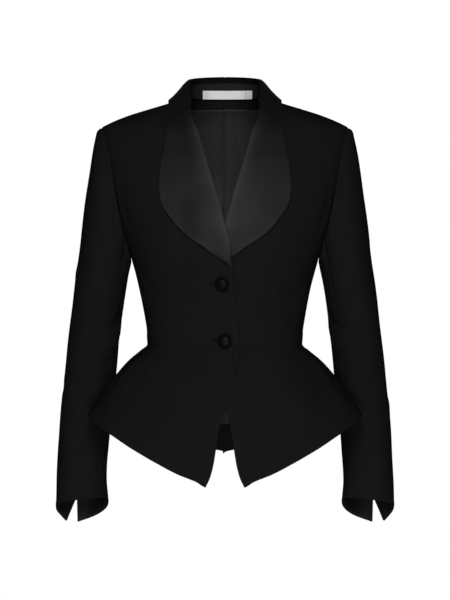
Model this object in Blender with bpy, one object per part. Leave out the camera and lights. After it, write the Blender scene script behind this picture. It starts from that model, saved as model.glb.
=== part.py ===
"""Peplum jacket: the cut pieces of a two-button dinner jacket, in the hollow form that they take when worn.

Metres, +Z up. The front faces -Y and the wearer's left is +X. The origin is the middle of the neck,
level with the shoulder line where the collar leaves it. Every body panel is read from one surface,
torso_point, whose horizontal sections come from the table BODY. Every sleeve piece is read from
sleeve_point, whose sections come from the table SLEEVE.
"""

import math

import bpy
import numpy as np

# Thickness of the cloths, with the layers that are fused or sewn behind them
SHELL_WALL = 0.0020
SATIN_WALL = 0.0014
LINING_WALL = 0.0010
TAPE_WALL = 0.0010
SEAM_GAP = 0.0003
SLEEVE_HEAD_GAP = 1.5 * SEAM_GAP
LAYER_GAP = 0.0006

# The wearer's sides, as the sign of X
SIDES = {"left": 1, "right": -1}

# Steps for reading a surface's normal, and the weights that tell its outer side
NEAR_TURN = 0.02
NEAR_DROP = 0.0012
OUTWARD_WEIGHTS = np.array([1.0, 1.3])
RING_STEP = 0.01
SAME_DEGREE = 0.01

# Heights that the cut turns on
NECK_BACK = 0.0016
NECK_SIDE = 0.0085
SHOULDER_TIP = -0.043
UNDERARM = -0.256
WAIST = -0.3888

# Half sections of the body: width to the side, and depth to the front and the back
BODY_COLUMNS = ("height", "half_width", "front_depth", "back_depth", "front_square", "back_square")
BODY = (
    (0.0120, 0.0520, 0.014, 0.060, 2.2, 2.2),
    (0.0085, 0.0600, 0.018, 0.064, 2.2, 2.2),
    (-0.0030, 0.0890, 0.036, 0.074, 2.2, 2.2),
    (-0.0112, 0.1159, 0.046, 0.080, 2.2, 2.2),
    (-0.0240, 0.1563, 0.058, 0.087, 2.2, 2.2),
    (-0.0368, 0.1866, 0.068, 0.092, 2.2, 2.2),
    (-0.0430, 0.1968, 0.073, 0.094, 2.2, 2.2),
    (-0.0700, 0.1990, 0.088, 0.100, 2.3, 2.3),
    (-0.1000, 0.1960, 0.102, 0.104, 2.3, 2.3),
    (-0.1550, 0.1835, 0.118, 0.108, 2.4, 2.3),
    (-0.2050, 0.1680, 0.126, 0.106, 2.4, 2.3),
    (-0.2560, 0.1490, 0.122, 0.099, 2.3, 2.2),
    (-0.2864, 0.1404, 0.115, 0.093, 2.2, 2.2),
    (-0.3200, 0.1330, 0.106, 0.088, 2.2, 2.2),
    (-0.3488, 0.1278, 0.099, 0.085, 2.2, 2.2),
    (-0.3696, 0.1250, 0.096, 0.084, 2.2, 2.2),
    (-0.3888, 0.1250, 0.096, 0.085, 2.2, 2.2),
    (-0.3984, 0.1345, 0.099, 0.089, 2.1, 2.0),
    (-0.4144, 0.1535, 0.104, 0.097, 2.0, 1.7),
    (-0.4370, 0.1740, 0.111, 0.107, 1.9, 1.5),
    (-0.4670, 0.1965, 0.119, 0.118, 1.9, 1.42),
    (-0.5020, 0.2195, 0.127, 0.130, 1.9, 1.4),
    (-0.5600, 0.2500, 0.137, 0.146, 1.9, 1.4),
    (-0.6200, 0.2760, 0.145, 0.160, 1.9, 1.4),
)

# The turned front edge of a front: the roll line down to the lapel's tip, then the edge that buttons.
# Distance from the centre line, less than nothing where the fronts cross over it.
EDGE_COLUMNS = ("height", "from_centre")
FRONT_EDGE = (
    (0.0120, 0.0560),
    (-0.0176, 0.0544),
    (-0.0480, 0.0432),
    (-0.0640, 0.0384),
    (-0.0896, 0.0309),
    (-0.1216, 0.0208),
    (-0.1528, 0.0112),
    (-0.1832, 0.0032),
    (-0.2360, -0.0106),
    (-0.2660, -0.0120),
    (-0.3024, -0.0144),
    (-0.3504, -0.0200),
    (-0.3984, -0.0232),
    (-0.4304, -0.0182),
    (-0.4544, -0.0104),
    (-0.4928, 0.0000),
    (-0.5168, 0.0080),
    (-0.5584, 0.0149),
    (-0.5776, 0.0179),
    (-0.6000, 0.0235),
    (-0.6168, 0.0312),
)

# The outer edge of the lapel, from the shoulder down to its tip
LAPEL_EDGE = (
    (-0.0030, 0.0893),
    (-0.0112, 0.0901),
    (-0.0384, 0.0926),
    (-0.0736, 0.0976),
    (-0.1104, 0.1034),
    (-0.1360, 0.1046),
    (-0.1632, 0.1008),
    (-0.1864, 0.0869),
    (-0.2144, 0.0608),
    (-0.2328, 0.0330),
    (-0.2660, -0.0110),
)

# The princess seams, front and back, below the armhole
PRINCESS_TOP = -0.140
PRINCESS_COLUMNS = ("height", "front", "back")
PRINCESS = (
    (-0.1650, 0.150, 0.152),
    (-0.1900, 0.118, 0.128),
    (-0.2200, 0.099, 0.106),
    (-0.2560, 0.091, 0.092),
    (-0.3200, 0.087, 0.080),
    (-0.3888, 0.085, 0.074),
    (-0.4500, 0.094, 0.080),
    (-0.5000, 0.106, 0.088),
    (-0.5500, 0.121, 0.098),
    (-0.6200, 0.139, 0.112),
)

# The hem, by degrees round from the centre front to the centre back
HEM_COLUMNS = ("degrees", "height")
HEM = (
    (-10.0, -0.6168),
    (6.5, -0.6168),
    (10.9, -0.6070),
    (17.5, -0.5957),
    (25.7, -0.5790),
    (35.9, -0.5590),
    (52.0, -0.5320),
    (70.0, -0.5130),
    (82.0, -0.5045),
    (90.0, -0.5020),
    (110.0, -0.5150),
    (130.0, -0.5330),
    (150.0, -0.5480),
    (180.0, -0.5630),
)

# The armhole: an upright ellipse, as seen from the side
ARMHOLE_MIDDLE = 0.5 * (SHOULDER_TIP + UNDERARM)
ARMHOLE_HALF_HEIGHT = 0.5 * (SHOULDER_TIP - UNDERARM)
ARMHOLE_ACROSS = 0.185
ARMHOLE_FRONT = 0.051
ARMHOLE_BACK = 0.054
PRINCESS_TURN = math.acos((PRINCESS_TOP - ARMHOLE_MIDDLE) / ARMHOLE_HALF_HEIGHT)
ARMHOLE_UPPER_STEPS = 8
ARMHOLE_LOWER_STEPS = 6
BUST_ROWS = 7
WAIST_ROWS = 6
PEPLUM_ROWS = 8
FRONT_COLUMNS = 9
BACK_COLUMNS = 9
BACK_NECK_COLUMNS = 4
SIDE_CHEST_DROP = 0.050

# How a panel's hem is found, and over how many of its bands the spacing of its top edge fades out
HEM_GUESS = -0.56
HEM_PASSES = 12
FADE_BANDS = 2
FADE_POWER = 1.5
NO_WIDTH = 1e-6

# Sections of a sleeve: its outer and inner sides, and the middle and half of its depth
SLEEVE_COLUMNS = ("height", "outer", "inner", "middle_depth", "half_depth")
SLEEVE = (
    (-0.0400, 0.2030, 0.1150, 0.000, 0.051),
    (-0.0496, 0.2062, 0.1180, 0.000, 0.053),
    (-0.0624, 0.2081, 0.1200, 0.000, 0.054),
    (-0.0784, 0.2111, 0.1220, 0.000, 0.055),
    (-0.1104, 0.2164, 0.1260, 0.001, 0.057),
    (-0.1584, 0.2234, 0.1320, 0.002, 0.058),
    (-0.2100, 0.2300, 0.1400, 0.005, 0.058),
    (-0.2560, 0.2355, 0.1490, 0.010, 0.057),
    (-0.2864, 0.2397, 0.1555, 0.016, 0.056),
    (-0.3500, 0.2477, 0.1655, 0.034, 0.052),
    (-0.4144, 0.2552, 0.1724, 0.055, 0.047),
    (-0.4784, 0.2622, 0.1790, 0.076, 0.043),
    (-0.5424, 0.2677, 0.1860, 0.086, 0.041),
    (-0.6064, 0.2707, 0.1898, 0.090, 0.040),
    (-0.6400, 0.2718, 0.1876, 0.090, 0.040),
    (-0.6800, 0.2735, 0.1870, 0.090, 0.040),
)

# The cuff's lower edge, by degrees round from the outer side over the front
CUFF_COLUMNS = ("degrees", "height")
CUFF = (
    (-52.0, -0.6735),
    (-35.0, -0.6640),
    (-15.0, -0.6560),
    (0.0, -0.6500),
    (25.0, -0.6450),
    (55.0, -0.6410),
    (90.0, -0.6380),
    (135.0, -0.6355),
    (160.0, -0.6360),
    (180.0, -0.6440),
    (210.0, -0.6550),
    (240.0, -0.6650),
    (280.0, -0.6755),
)
SLEEVE_ROWS = (0.0, 0.010, 0.025, 0.055, 0.10, 0.16, 0.24, 0.33, 0.42, 0.52, 0.62, 0.72, 0.81, 0.88, 0.925,
               0.96, 1.0)
SLIT_ROW = 14
MIDDLE_ROW = 8
SLEEVE_TURN_END = 0.30
CUFF_SLIT = -77.6
CUFF_SLIT_UNDER_OPEN = 3.0
CUFF_SLIT_OPEN = 25.0
SLEEVE_FRONT_SEAM = 130.0

# How far down the sleeve the armhole's shape reaches: over the shoulder, and what the sides and the
# underarm add to it
REACH_TOP = 0.006
REACH_SIDE = 0.030
REACH_UNDER = 0.012

# The collar round the neck, behind the last row of the lapel: its roll line, and its outer edge on the back
NECK_COLUMNS = ("along", "roll_x", "roll_y", "roll_z", "edge_x", "edge_y", "edge_z")
COLLAR_NECK = (
    (1.0, 0.0560, -0.0260, 0.0070, 0.0893, -0.0180, -0.0030),
    (2.0, 0.0560, -0.0020, 0.0250, 0.0892, 0.0040, -0.0010),
    (3.0, 0.0555, 0.0220, 0.0335, 0.0880, 0.0300, -0.0015),
    (4.0, 0.0450, 0.0490, 0.0368, 0.0740, 0.0640, -0.0085),
    (5.0, 0.0240, 0.0650, 0.0388, 0.0400, 0.0790, -0.0110),
    (6.0, 0.0002, 0.0690, 0.0396, 0.0002, 0.0830, -0.0115),
)
COLLAR_TOP_ROW = -0.0176
COLLAR_FOLD = 0.0030
FOLD_START = -0.275
FOLD_FADE = 0.020
LAPEL_TIP = -0.2605
LAPEL_ROWS = 18
LAPEL_FULL_WIDTH = 0.020
TIP_HEIGHTS = {"": 0.0020, "inner_": 0.0006}
BLEND_WEIGHTS = (0.25, 0.5, 0.75)
NECK_ROWS = 13
COLLAR_PROFILE_COLUMNS = ("share", "away", "height", "inner_away", "inner_height")
COLLAR_PROFILE = (
    (0.00, 0.0000, -0.0008, 0.0014, -0.0008),
    (0.00, 0.0002, 0.0012, 0.0016, 0.0002),
    (0.00, 0.0016, 0.0026, 0.0024, 0.0010),
    (0.10, 0.0020, 0.0034, 0.0020, 0.0020),
    (0.25, 0.0015, 0.0034, 0.0015, 0.0020),
    (0.45, 0.0010, 0.0029, 0.0010, 0.0015),
    (0.70, 0.0000, 0.0030, 0.0000, 0.0016),
    (0.88, 0.0000, 0.0029, 0.0000, 0.0015),
    (1.00, 0.0000, 0.0028, 0.0000, 0.0014),
)

# The wearer's right front lies over the left one, and lower down over cloth that is thinner
LAP_LIFT = 0.0028
LAP_LIFT_OVER_LAPEL = 0.0058
LAPEL_UNDER = (-0.285, -0.130)
LAPEL_FADE = (0.030, 0.045)
LAP_REACH = 0.075
LAP_FADE = 0.049

# Buttons: how far their middles lie across from the centre line, and at what height
BUTTONS = {"button_upper": (-0.0043, -0.2917), "button_lower": (0.0000, -0.3840)}
BUTTON_RADIUS = 0.0114
BUTTON_SHANK = (0.0032, 0.0030)
BUTTON_PROFILE = ((0.86, 0.0), (1.0, 0.10), (0.97, 0.24), (0.82, 0.42), (0.55, 0.55), (0.25, 0.61))
BUTTON_CROWN = 0.63
BUTTON_SIDES = 20

# The collar stand: where it starts beside the neck, how its lower edge lies to the roll line above it
STAND_START = 1.6
STAND_LEAN = 0.985
STAND_FORWARD = 0.004
STAND_BELOW_ROLL = 0.0032
STAND_LEAST = 0.008
STAND_GAP = 0.0004
STAND_CENTRE = np.array([0.0, 0.02])

# The label and the size tab beside it, on the collar stand
STRIP_START = 2.6
STRIP_LEVELS = 9
STRIP_STEP = 0.006
LABEL_SPAN = (-0.0352, 0.0325)
TAB_SPAN = (0.0331, 0.0430)
LABEL_HEIGHTS = (0.0035, 0.0172)

# The linings: where they start and end, and how far the cuff's one lies inside
LINING_TOP = -0.0115
LINING_BELOW_EDGE = 0.004
LINING_LEAST_ROW = 0.004
LINING_BELOW_UNDERARM = 0.001
FACING_BELOW_NECK = 0.0004
LINING_UPPER_ROWS = 8
LINING_BOTTOM = -0.5170
CUFF_LINING_BACK = 0.08
CUFF_LINING_GAP = 0.0008
SLIT_POINT = -0.6745

# Finishes: colour, roughness, sheen
FINISHES = {
    "crepe": ((0.011, 0.011, 0.012), 0.85, 0.3),
    "satin": ((0.014, 0.014, 0.015), 0.35, 0.1),
    "lining": ((0.022, 0.022, 0.024), 0.40, 0.1),
    "woven_tape": ((0.80, 0.79, 0.77), 0.70, 0.1),
}


def clear_scene():
    """Remove every object of the scene."""
    for piece in list(bpy.data.objects):
        bpy.data.objects.remove(piece, do_unlink=True)


def smooth(xs, ys, at):
    """A curve through the points xs, ys that never overshoots them, read at the places at."""
    order = np.argsort(xs)
    xs = np.asarray(xs, float)[order]
    ys = np.asarray(ys, float)[order]
    step = np.diff(xs)
    slope = np.diff(ys) / step
    tangent = np.zeros(len(xs))
    tangent[0] = slope[0]
    tangent[-1] = slope[-1]
    for i in range(1, len(xs) - 1):
        if slope[i - 1] * slope[i] > 0:
            before = 2 * step[i] + step[i - 1]
            after = step[i] + 2 * step[i - 1]
            tangent[i] = (before + after) / (before / slope[i - 1] + after / slope[i])
    at = np.clip(at, xs[0], xs[-1])
    k = np.clip(np.searchsorted(xs, at, side="right") - 1, 0, len(step) - 1)
    t = (at - xs[k]) / step[k]
    rise = (1 - t) ** 2 * ((1 + 2 * t) * ys[k] + t * step[k] * tangent[k])
    return rise + t**2 * ((3 - 2 * t) * ys[k + 1] - (1 - t) * step[k] * tangent[k + 1])


def table(rows, columns, name, at):
    """Read the column name of a table at values of its first column."""
    grid = np.array(rows, float)
    return smooth(grid[:, 0], grid[:, columns.index(name)], at)


def body(name, height):
    """Read a column of the body's sections."""
    return table(BODY, BODY_COLUMNS, name, height)


def torso_point(around, height):
    """The body's surface, by the angle round from the centre front (0) over the wearer's left side."""
    around = np.asarray(around, float)
    height = np.asarray(height, float)
    sine = np.sin(around)
    cosine = np.cos(around)
    front = cosine > 0
    square = np.where(front, body("front_square", height), body("back_square", height))
    depth = np.where(front, body("front_depth", height), body("back_depth", height))
    x = body("half_width", height) * np.sign(sine) * np.abs(sine) ** (2 / square)
    y = -depth * np.sign(cosine) * np.abs(cosine) ** (2 / square)
    return np.stack([x, y, np.broadcast_to(height, x.shape)], axis=-1)


def unit(vectors):
    """Vectors brought to length one."""
    return vectors / np.maximum(np.linalg.norm(vectors, axis=-1, keepdims=True), 1e-12)


def torso_normal(around, height):
    """The outward normal of the body's surface, from points close by."""
    along = torso_point(around + NEAR_TURN, height) - torso_point(around - NEAR_TURN, height)
    down = torso_point(around, height - NEAR_DROP) - torso_point(around, height + NEAR_DROP)
    normal = unit(np.cross(down, along))
    point = torso_point(around, height)
    outward = point[..., :2] * OUTWARD_WEIGHTS
    facing = np.sum(normal[..., :2] * outward, axis=-1, keepdims=True)
    return normal * np.where(facing < 0, -1.0, 1.0)


def around_at(x, height, back=False):
    """The angle at which the body's surface is x from the centre line, in front or behind."""
    square = body("back_square" if back else "front_square", height)
    share = np.clip(np.abs(x) / body("half_width", height), 0, 1)
    angle = np.arcsin(share ** (square / 2))
    angle = math.pi - angle if back else angle
    return np.where(np.asarray(x) < 0, -angle, angle)


def armhole_around(height, back=False):
    """The angle of the armhole's edge: the side itself above the shoulder's tip and below the underarm."""
    share = np.clip((height - ARMHOLE_MIDDLE) / ARMHOLE_HALF_HEIGHT, -1, 1)
    depth = (ARMHOLE_BACK if back else ARMHOLE_FRONT) * np.sqrt(1 - share**2)
    square = body("back_square" if back else "front_square", height)
    full = body("back_depth" if back else "front_depth", height)
    off = np.arcsin(np.clip((depth / full) ** (square / 2), 0, 1))
    return math.pi / 2 + off if back else math.pi / 2 - off


def princess_around(height, back=False):
    """The angle of a princess seam. Above its top it is the armhole's edge."""
    name = "back" if back else "front"
    top = torso_point(armhole_around(np.array([PRINCESS_TOP]), back), np.array([PRINCESS_TOP]))[0, 0]
    rows = ((PRINCESS_TOP, top, top),) + PRINCESS
    below = around_at(table(rows, PRINCESS_COLUMNS, name, height), height, back)
    return np.where(height > PRINCESS_TOP, armhole_around(height, back), below)


def hem_height(around):
    """The height of the hem at an angle round the body."""
    return table(HEM, HEM_COLUMNS, "height", np.degrees(around))


def row_levels(start, end, bands):
    """Heights of a grid's rows from start to end through the levels of its bands.

    With them comes how much of the top edge's own spacing each row keeps, which fades out downwards.
    """
    levels = [start] + [level + 0 * start for level, _ in bands[:-1]] + [end]
    rows = [start]
    fade = [1.0]
    for k, (_, spacing) in enumerate(bands):
        for step in spacing:
            rows.append(levels[k] + (levels[k + 1] - levels[k]) * step)
            fade.append(max(1 - (k + step) / FADE_BANDS, 0.0) ** FADE_POWER)
    return np.array(rows), np.array(fade)[:, None]


def panel(inner, outer, top_around, top_height, columns, bands):
    """Angles and heights of a body panel's grid.

    inner and outer give the angle of its two long edges at a height, top_around and top_height its upper
    edge from the inner to the outer side, and bands the levels that rows run along, each with how the
    rows above it are spaced.
    """
    across = np.linspace(0, 1, columns + 1)
    start = top_height(across)
    width = outer(start) - inner(start)
    width = np.where(np.abs(width) < NO_WIDTH, 1, width)
    start_share = np.clip((top_around(across) - inner(start)) / width, 0, 1)
    start_share[0] = 0.0
    start_share[-1] = 1.0
    end = np.full(across.shape, HEM_GUESS)
    for _ in range(HEM_PASSES):
        end = hem_height(inner(end) + (outer(end) - inner(end)) * across)
    height, fade = row_levels(start, end, bands)
    share = across + fade * (start_share - across)
    return inner(height) + (outer(height) - inner(height)) * share, height


def wide_panel(inner_x, outer_x, top_x, top_height, columns, bands, back=False):
    """Angles and heights of the grid of a front or back, whose columns run down from the shoulder.

    inner_x and outer_x give how far its long edges are from the centre line at a height, and top_x and
    top_height its upper edge. The other values are as in panel.
    """
    across = np.linspace(0, 1, columns + 1)
    start = top_height(across)
    start_even = inner_x(start) + (outer_x(start) - inner_x(start)) * across
    shift = top_x(across) - start_even
    end = np.full(across.shape, HEM_GUESS)
    for _ in range(HEM_PASSES):
        end = hem_height(around_at(inner_x(end) + (outer_x(end) - inner_x(end)) * across, end, back))
    height, fade = row_levels(start, end, bands)
    x = inner_x(height) + (outer_x(height) - inner_x(height)) * across
    return around_at(x + fade * shift, height, back), height


def princess_x(height, back=False):
    """How far a princess seam is from the centre line. Above its top it is the armhole's edge."""
    height = np.minimum(height, SHOULDER_TIP)
    return torso_point(princess_around(height, back), height)[..., 0]


def armhole_turns():
    """The turns of the armhole's points from the shoulder to the princess seam, closer at the shoulder."""
    turns = np.linspace(0, PRINCESS_TURN, ARMHOLE_UPPER_STEPS - 1)
    return np.insert(turns, (1, 2), (0.5 * turns[1], 0.5 * (turns[1] + turns[2])))


def armhole_steps():
    """The spacing of rows that end on the armhole's points above the princess seam."""
    return (1 - np.cos(armhole_turns()[1:])) / (1 - math.cos(PRINCESS_TURN))


def even(count):
    """Evenly spaced steps up to 1."""
    return np.arange(1, count + 1) / count


def set_back(points, edges):
    """Move the outermost rows and columns of a grid back from its seams by half a seam's gap."""
    moved = points.copy()
    places = {"inner": (np.s_[:, 0], np.s_[:, 1]), "outer": (np.s_[:, -1], np.s_[:, -2]),
              "top": (np.s_[0], np.s_[1])}
    for name in edges:
        place, inside = places[name]
        moved[place] += unit(points[inside] - points[place]) * 0.5 * SEAM_GAP
    return moved


def halves(quads):
    """Each four-sided face as two triangles, split the same way on both faces of a wall."""
    return np.concatenate([quads[:, [0, 1, 2]], quads[:, [0, 2, 3]]])


def wall(name, outer, inner, finish):
    """A closed wall between two grids of points, made as an object."""
    rows, columns = outer.shape[:2]
    count = rows * columns
    points = np.concatenate([outer.reshape(-1, 3), inner.reshape(-1, 3)])
    index = np.arange(count).reshape(rows, columns)
    quads = np.stack([index[:-1, :-1], index[:-1, 1:], index[1:, 1:], index[1:, :-1]], axis=-1).reshape(-1, 4)
    face = halves(quads)
    back = face[:, ::-1] + count
    ring = np.concatenate([index[0, :-1], index[:-1, -1], index[-1, :0:-1], index[:0:-1, 0]])
    after = np.roll(ring, -1)
    rim = halves(np.stack([after, ring, ring + count, after + count], axis=-1))
    faces = np.concatenate([face, back, rim])
    corner = points[faces]
    if np.sum(corner[:, 0] * np.cross(corner[:, 1], corner[:, 2])) < 0:
        faces = faces[:, ::-1]
    add_mesh(name, points, faces.tolist(), finish)


def add_mesh(name, points, faces, finish):
    """An object of its own with its own material."""
    mesh = bpy.data.meshes.new(name)
    mesh.from_pydata([tuple(point) for point in points.tolist()], [], faces)
    mesh.update()
    piece = bpy.data.objects.new(name, mesh)
    bpy.context.scene.collection.objects.link(piece)
    colour, roughness, sheen = FINISHES[finish]
    material = bpy.data.materials.new(name)
    material.use_nodes = True
    shader = material.node_tree.nodes["Principled BSDF"]
    shader.inputs["Base Color"].default_value = (*colour, 1.0)
    shader.inputs["Roughness"].default_value = roughness
    shader.inputs["Metallic"].default_value = 0.0
    shader.inputs["Sheen Weight"].default_value = sheen
    mesh.materials.append(material)
    mesh.shade_smooth()


def mirror(points, side):
    """Points of the wearer's left side, brought to the side wanted: 1 left, -1 right."""
    return points * np.array([side, 1.0, 1.0])


def ease(share):
    """A soft step from 0 to 1."""
    share = np.clip(share, 0, 1)
    return share * share * (3 - 2 * share)


def lap_lift(x, height, side):
    """How far the right front stands off the left one. x is measured on the front's own side."""
    if side > 0:
        return np.zeros(np.shape(x))
    low, high = LAPEL_UNDER
    over_lapel = ease((height - low) / LAPEL_FADE[0]) * ease((high - height) / LAPEL_FADE[1])
    full = LAP_LIFT + (LAP_LIFT_OVER_LAPEL - LAP_LIFT) * over_lapel
    return full * ease((LAP_REACH - x) / LAP_FADE)


def fronts(side_name):
    """The front panel, from the roll line and the buttoned edge to the armhole and the princess seam."""
    side = SIDES[side_name]

    def top_height(across):
        return NECK_SIDE + (SHOULDER_TIP - NECK_SIDE) * across

    def top_x(across):
        return np.where(across < 0.01, edge(top_height(across)), body("half_width", top_height(across)))

    def edge(height):
        fold = COLLAR_FOLD * ease((height - FOLD_START) / FOLD_FADE)
        return table(FRONT_EDGE, EDGE_COLUMNS, "from_centre", height) + fold

    bands = ((PRINCESS_TOP, armhole_steps()), (UNDERARM, even(BUST_ROWS)), (WAIST, even(WAIST_ROWS)),
             (None, even(PEPLUM_ROWS)))
    around, height = wide_panel(edge, princess_x, top_x, top_height, FRONT_COLUMNS, bands)
    point = set_back(torso_point(around, height), ("outer", "top"))
    normal = torso_normal(around, height)
    lift = lap_lift(point[..., 0], height, side)[..., None]
    outer = point + normal * lift
    wall(f"front_{side_name}", mirror(outer, side), mirror(outer - normal * SHELL_WALL, side), "crepe")


def side_panels(side_name, back):
    """The side front or side back, from the armhole to the hem."""
    side = SIDES[side_name]

    def top_height(across):
        turn = PRINCESS_TURN + (math.pi - PRINCESS_TURN) * across
        return ARMHOLE_MIDDLE + ARMHOLE_HALF_HEIGHT * np.cos(turn)

    def top_around(across):
        return armhole_around(top_height(across), back)

    def seam(height):
        return princess_around(height, back)

    def side_edge(height):
        return np.full(np.shape(height), math.pi / 2)

    chest = UNDERARM - SIDE_CHEST_DROP * np.linspace(0, 1, ARMHOLE_LOWER_STEPS + 1)
    bands = ((chest, even(BUST_ROWS)), (WAIST, even(WAIST_ROWS)), (None, even(PEPLUM_ROWS)))
    around, height = panel(seam, side_edge, top_around, top_height, ARMHOLE_LOWER_STEPS, bands)
    point = set_back(torso_point(around, height), ("inner", "outer", "top"))
    normal = torso_normal(around, height)
    name = f"side_{'back' if back else 'front'}_{side_name}"
    wall(name, mirror(point, side), mirror(point - normal * SHELL_WALL, side), "crepe")


def back_grid():
    """Angles and heights of the back's grid, from the centre back out to the armhole and princess seam."""
    neck_share = BACK_NECK_COLUMNS / BACK_COLUMNS

    def top_height(across):
        neck = NECK_BACK + (NECK_SIDE - NECK_BACK) * np.minimum(across / neck_share, 1.0) ** 2
        slope = np.clip((across - neck_share) / (1 - neck_share), 0, 1)
        return neck + (SHOULDER_TIP - NECK_SIDE) * slope

    def top_x(across):
        neck = body("half_width", NECK_SIDE) * np.sin(0.5 * math.pi * np.minimum(across / neck_share, 1.0))
        return np.where(across <= neck_share, neck, body("half_width", top_height(across)))

    def middle(height):
        return np.zeros(np.shape(height))

    def seam(height):
        return princess_x(height, True)

    bands = ((PRINCESS_TOP, armhole_steps()), (UNDERARM, even(BUST_ROWS)), (WAIST, even(WAIST_ROWS)),
             (None, even(PEPLUM_ROWS)))
    return wide_panel(middle, seam, top_x, top_height, BACK_COLUMNS, bands, True)


def backs(side_name):
    """The back panel, and the lining that shows behind the open neck and under the cut-away fronts."""
    side = SIDES[side_name]
    around, height = back_grid()
    point = set_back(torso_point(around, height), ("inner", "outer", "top"))
    normal = torso_normal(around, height)
    wall(f"back_{side_name}", mirror(point, side), mirror(point - normal * SHELL_WALL, side), "crepe")
    start = np.minimum(height[0] - LINING_BELOW_EDGE, LINING_TOP)
    upper = start + (UNDERARM - start) * np.append(0.0, even(LINING_UPPER_ROWS))[:, None]
    lowest = LINING_BOTTOM + LINING_LEAST_ROW
    highest = UNDERARM - LINING_BELOW_UNDERARM
    lower = [level for level in height[:, 0] if lowest < level < highest]
    lower = np.array(lower + [LINING_BOTTOM])[:, None] + np.zeros(height.shape[1])
    levels = np.concatenate([upper, lower])[:, :-1]
    near = SHELL_WALL + LAYER_GAP
    face = resample((point - normal * near)[:, :-1], height, levels)
    back = resample((point - normal * (near + LINING_WALL))[:, :-1], height, levels)
    wall(f"back_lining_{side_name}", mirror(face, side), mirror(back, side), "lining")


def resample(points, height, levels):
    """Points on the columns of a grid whose rows are at height, at new levels."""
    made = np.empty(levels.shape + (3,))
    for column in range(levels.shape[1]):
        for axis in range(3):
            line = points[::-1, column, axis]
            made[:, column, axis] = np.interp(levels[:, column], height[::-1, column], line)
    return made


def neck_facing():
    """The band of shell cloth inside the back neck, between the lining and the collar stand."""
    around, height = back_grid()
    point = torso_point(around, height)
    normal = torso_normal(around, height)
    neck = slice(0, BACK_NECK_COLUMNS + 1)
    top = height[0, neck] - FACING_BELOW_NECK
    levels = top + (LINING_TOP + 2 * SEAM_GAP - top) * np.linspace(0, 1, 3)[:, None]
    near = SHELL_WALL + LAYER_GAP
    grids = []
    for away in (near, near + SATIN_WALL):
        half = resample((point - normal * away)[:, neck], height, levels)
        grids.append(np.concatenate([mirror(half[:, :0:-1], -1), half], axis=1))
    wall("back_neck_facing", grids[0], grids[1], "crepe")


def neck_curve(names, along):
    """Points of the collar's roll line or edge round the neck."""
    return np.stack([table(COLLAR_NECK, NECK_COLUMNS, name, along) for name in names], axis=-1)


def profile_column(name):
    """A column of the collar's profile."""
    return np.array(COLLAR_PROFILE)[:, COLLAR_PROFILE_COLUMNS.index(name)]


def collar_base():
    """The two guide curves of the collar, roll line and outer edge, and the surface between them."""
    front = LAPEL_TIP + (COLLAR_TOP_ROW - LAPEL_TIP) * np.linspace(0, 1, LAPEL_ROWS + 1) ** 1.35
    share = profile_column("share")
    roll = table(FRONT_EDGE, EDGE_COLUMNS, "from_centre", front)
    edge = table(LAPEL_EDGE, EDGE_COLUMNS, "from_centre", front)
    x = roll[:, None] + (edge - roll)[:, None] * share
    height = np.broadcast_to(front[:, None], x.shape)
    around = around_at(x, height)
    surface = torso_point(around, height)
    normal = torso_normal(around, height)
    along = np.linspace(0, 6, NECK_ROWS + 1)[1:]
    start = ((0.0,) + tuple(surface[-1, 0]) + tuple(surface[-1, -1]),)
    rows = start + COLLAR_NECK
    ring = [np.stack([table(rows, NECK_COLUMNS, n, along) for n in names], axis=-1)
            for names in (NECK_COLUMNS[1:4], NECK_COLUMNS[4:7])]
    neck = ring[0][:, None, :] + (ring[1] - ring[0])[:, None, :] * share[None, :, None]
    forward = np.gradient(ring[0] + ring[1], axis=0)
    across = ring[1] - ring[0]
    up = unit(np.cross(across, forward))
    up = up * np.where(up[:, 2:3] < 0, -1.0, 1.0)
    up = np.broadcast_to(up[:, None, :], neck.shape)
    base = np.concatenate([surface, neck])
    normals = np.concatenate([normal, up])
    blended = normals.copy()
    last = len(front)
    for k, weight in enumerate(BLEND_WEIGHTS):
        blended[last - 1 + k] = unit(normals[last - 2] * (1 - weight) + normals[last + 2] * weight)
    return base, blended, x, height, last


def shawl_collars(side_name):
    """The satin collar and lapel: a wall that rolls over the front edge and lies on the front and back."""
    side = SIDES[side_name]
    base, normal, x, height, last = collar_base()
    width = np.linalg.norm(base[:, -1] - base[:, 0], axis=-1)[:, None]
    across = ((base[:, -1] - base[:, 0]) / width)[:, None, :]
    lift = np.zeros(base.shape[:2])
    lift[:last] = lap_lift(x, height, side)
    full = np.minimum(width / LAPEL_FULL_WIDTH, 1.0)
    grids = []
    for face, flat in TIP_HEIGHTS.items():
        away = profile_column(face + "away") * full
        level = profile_column(face + "height") * full + flat * (1 - full)
        grid = base + across * away[..., None] + normal * (level + lift)[..., None]
        grid[-1, :, 0] = 0.5 * SEAM_GAP
        grids.append(mirror(grid, side))
    wall(f"shawl_collar_{side_name}", grids[0], grids[1], "satin")


def grid_normals(points):
    """Normals of a grid of points, from its own rows and columns."""
    return unit(np.cross(np.gradient(points, axis=0), np.gradient(points, axis=1)))


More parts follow.
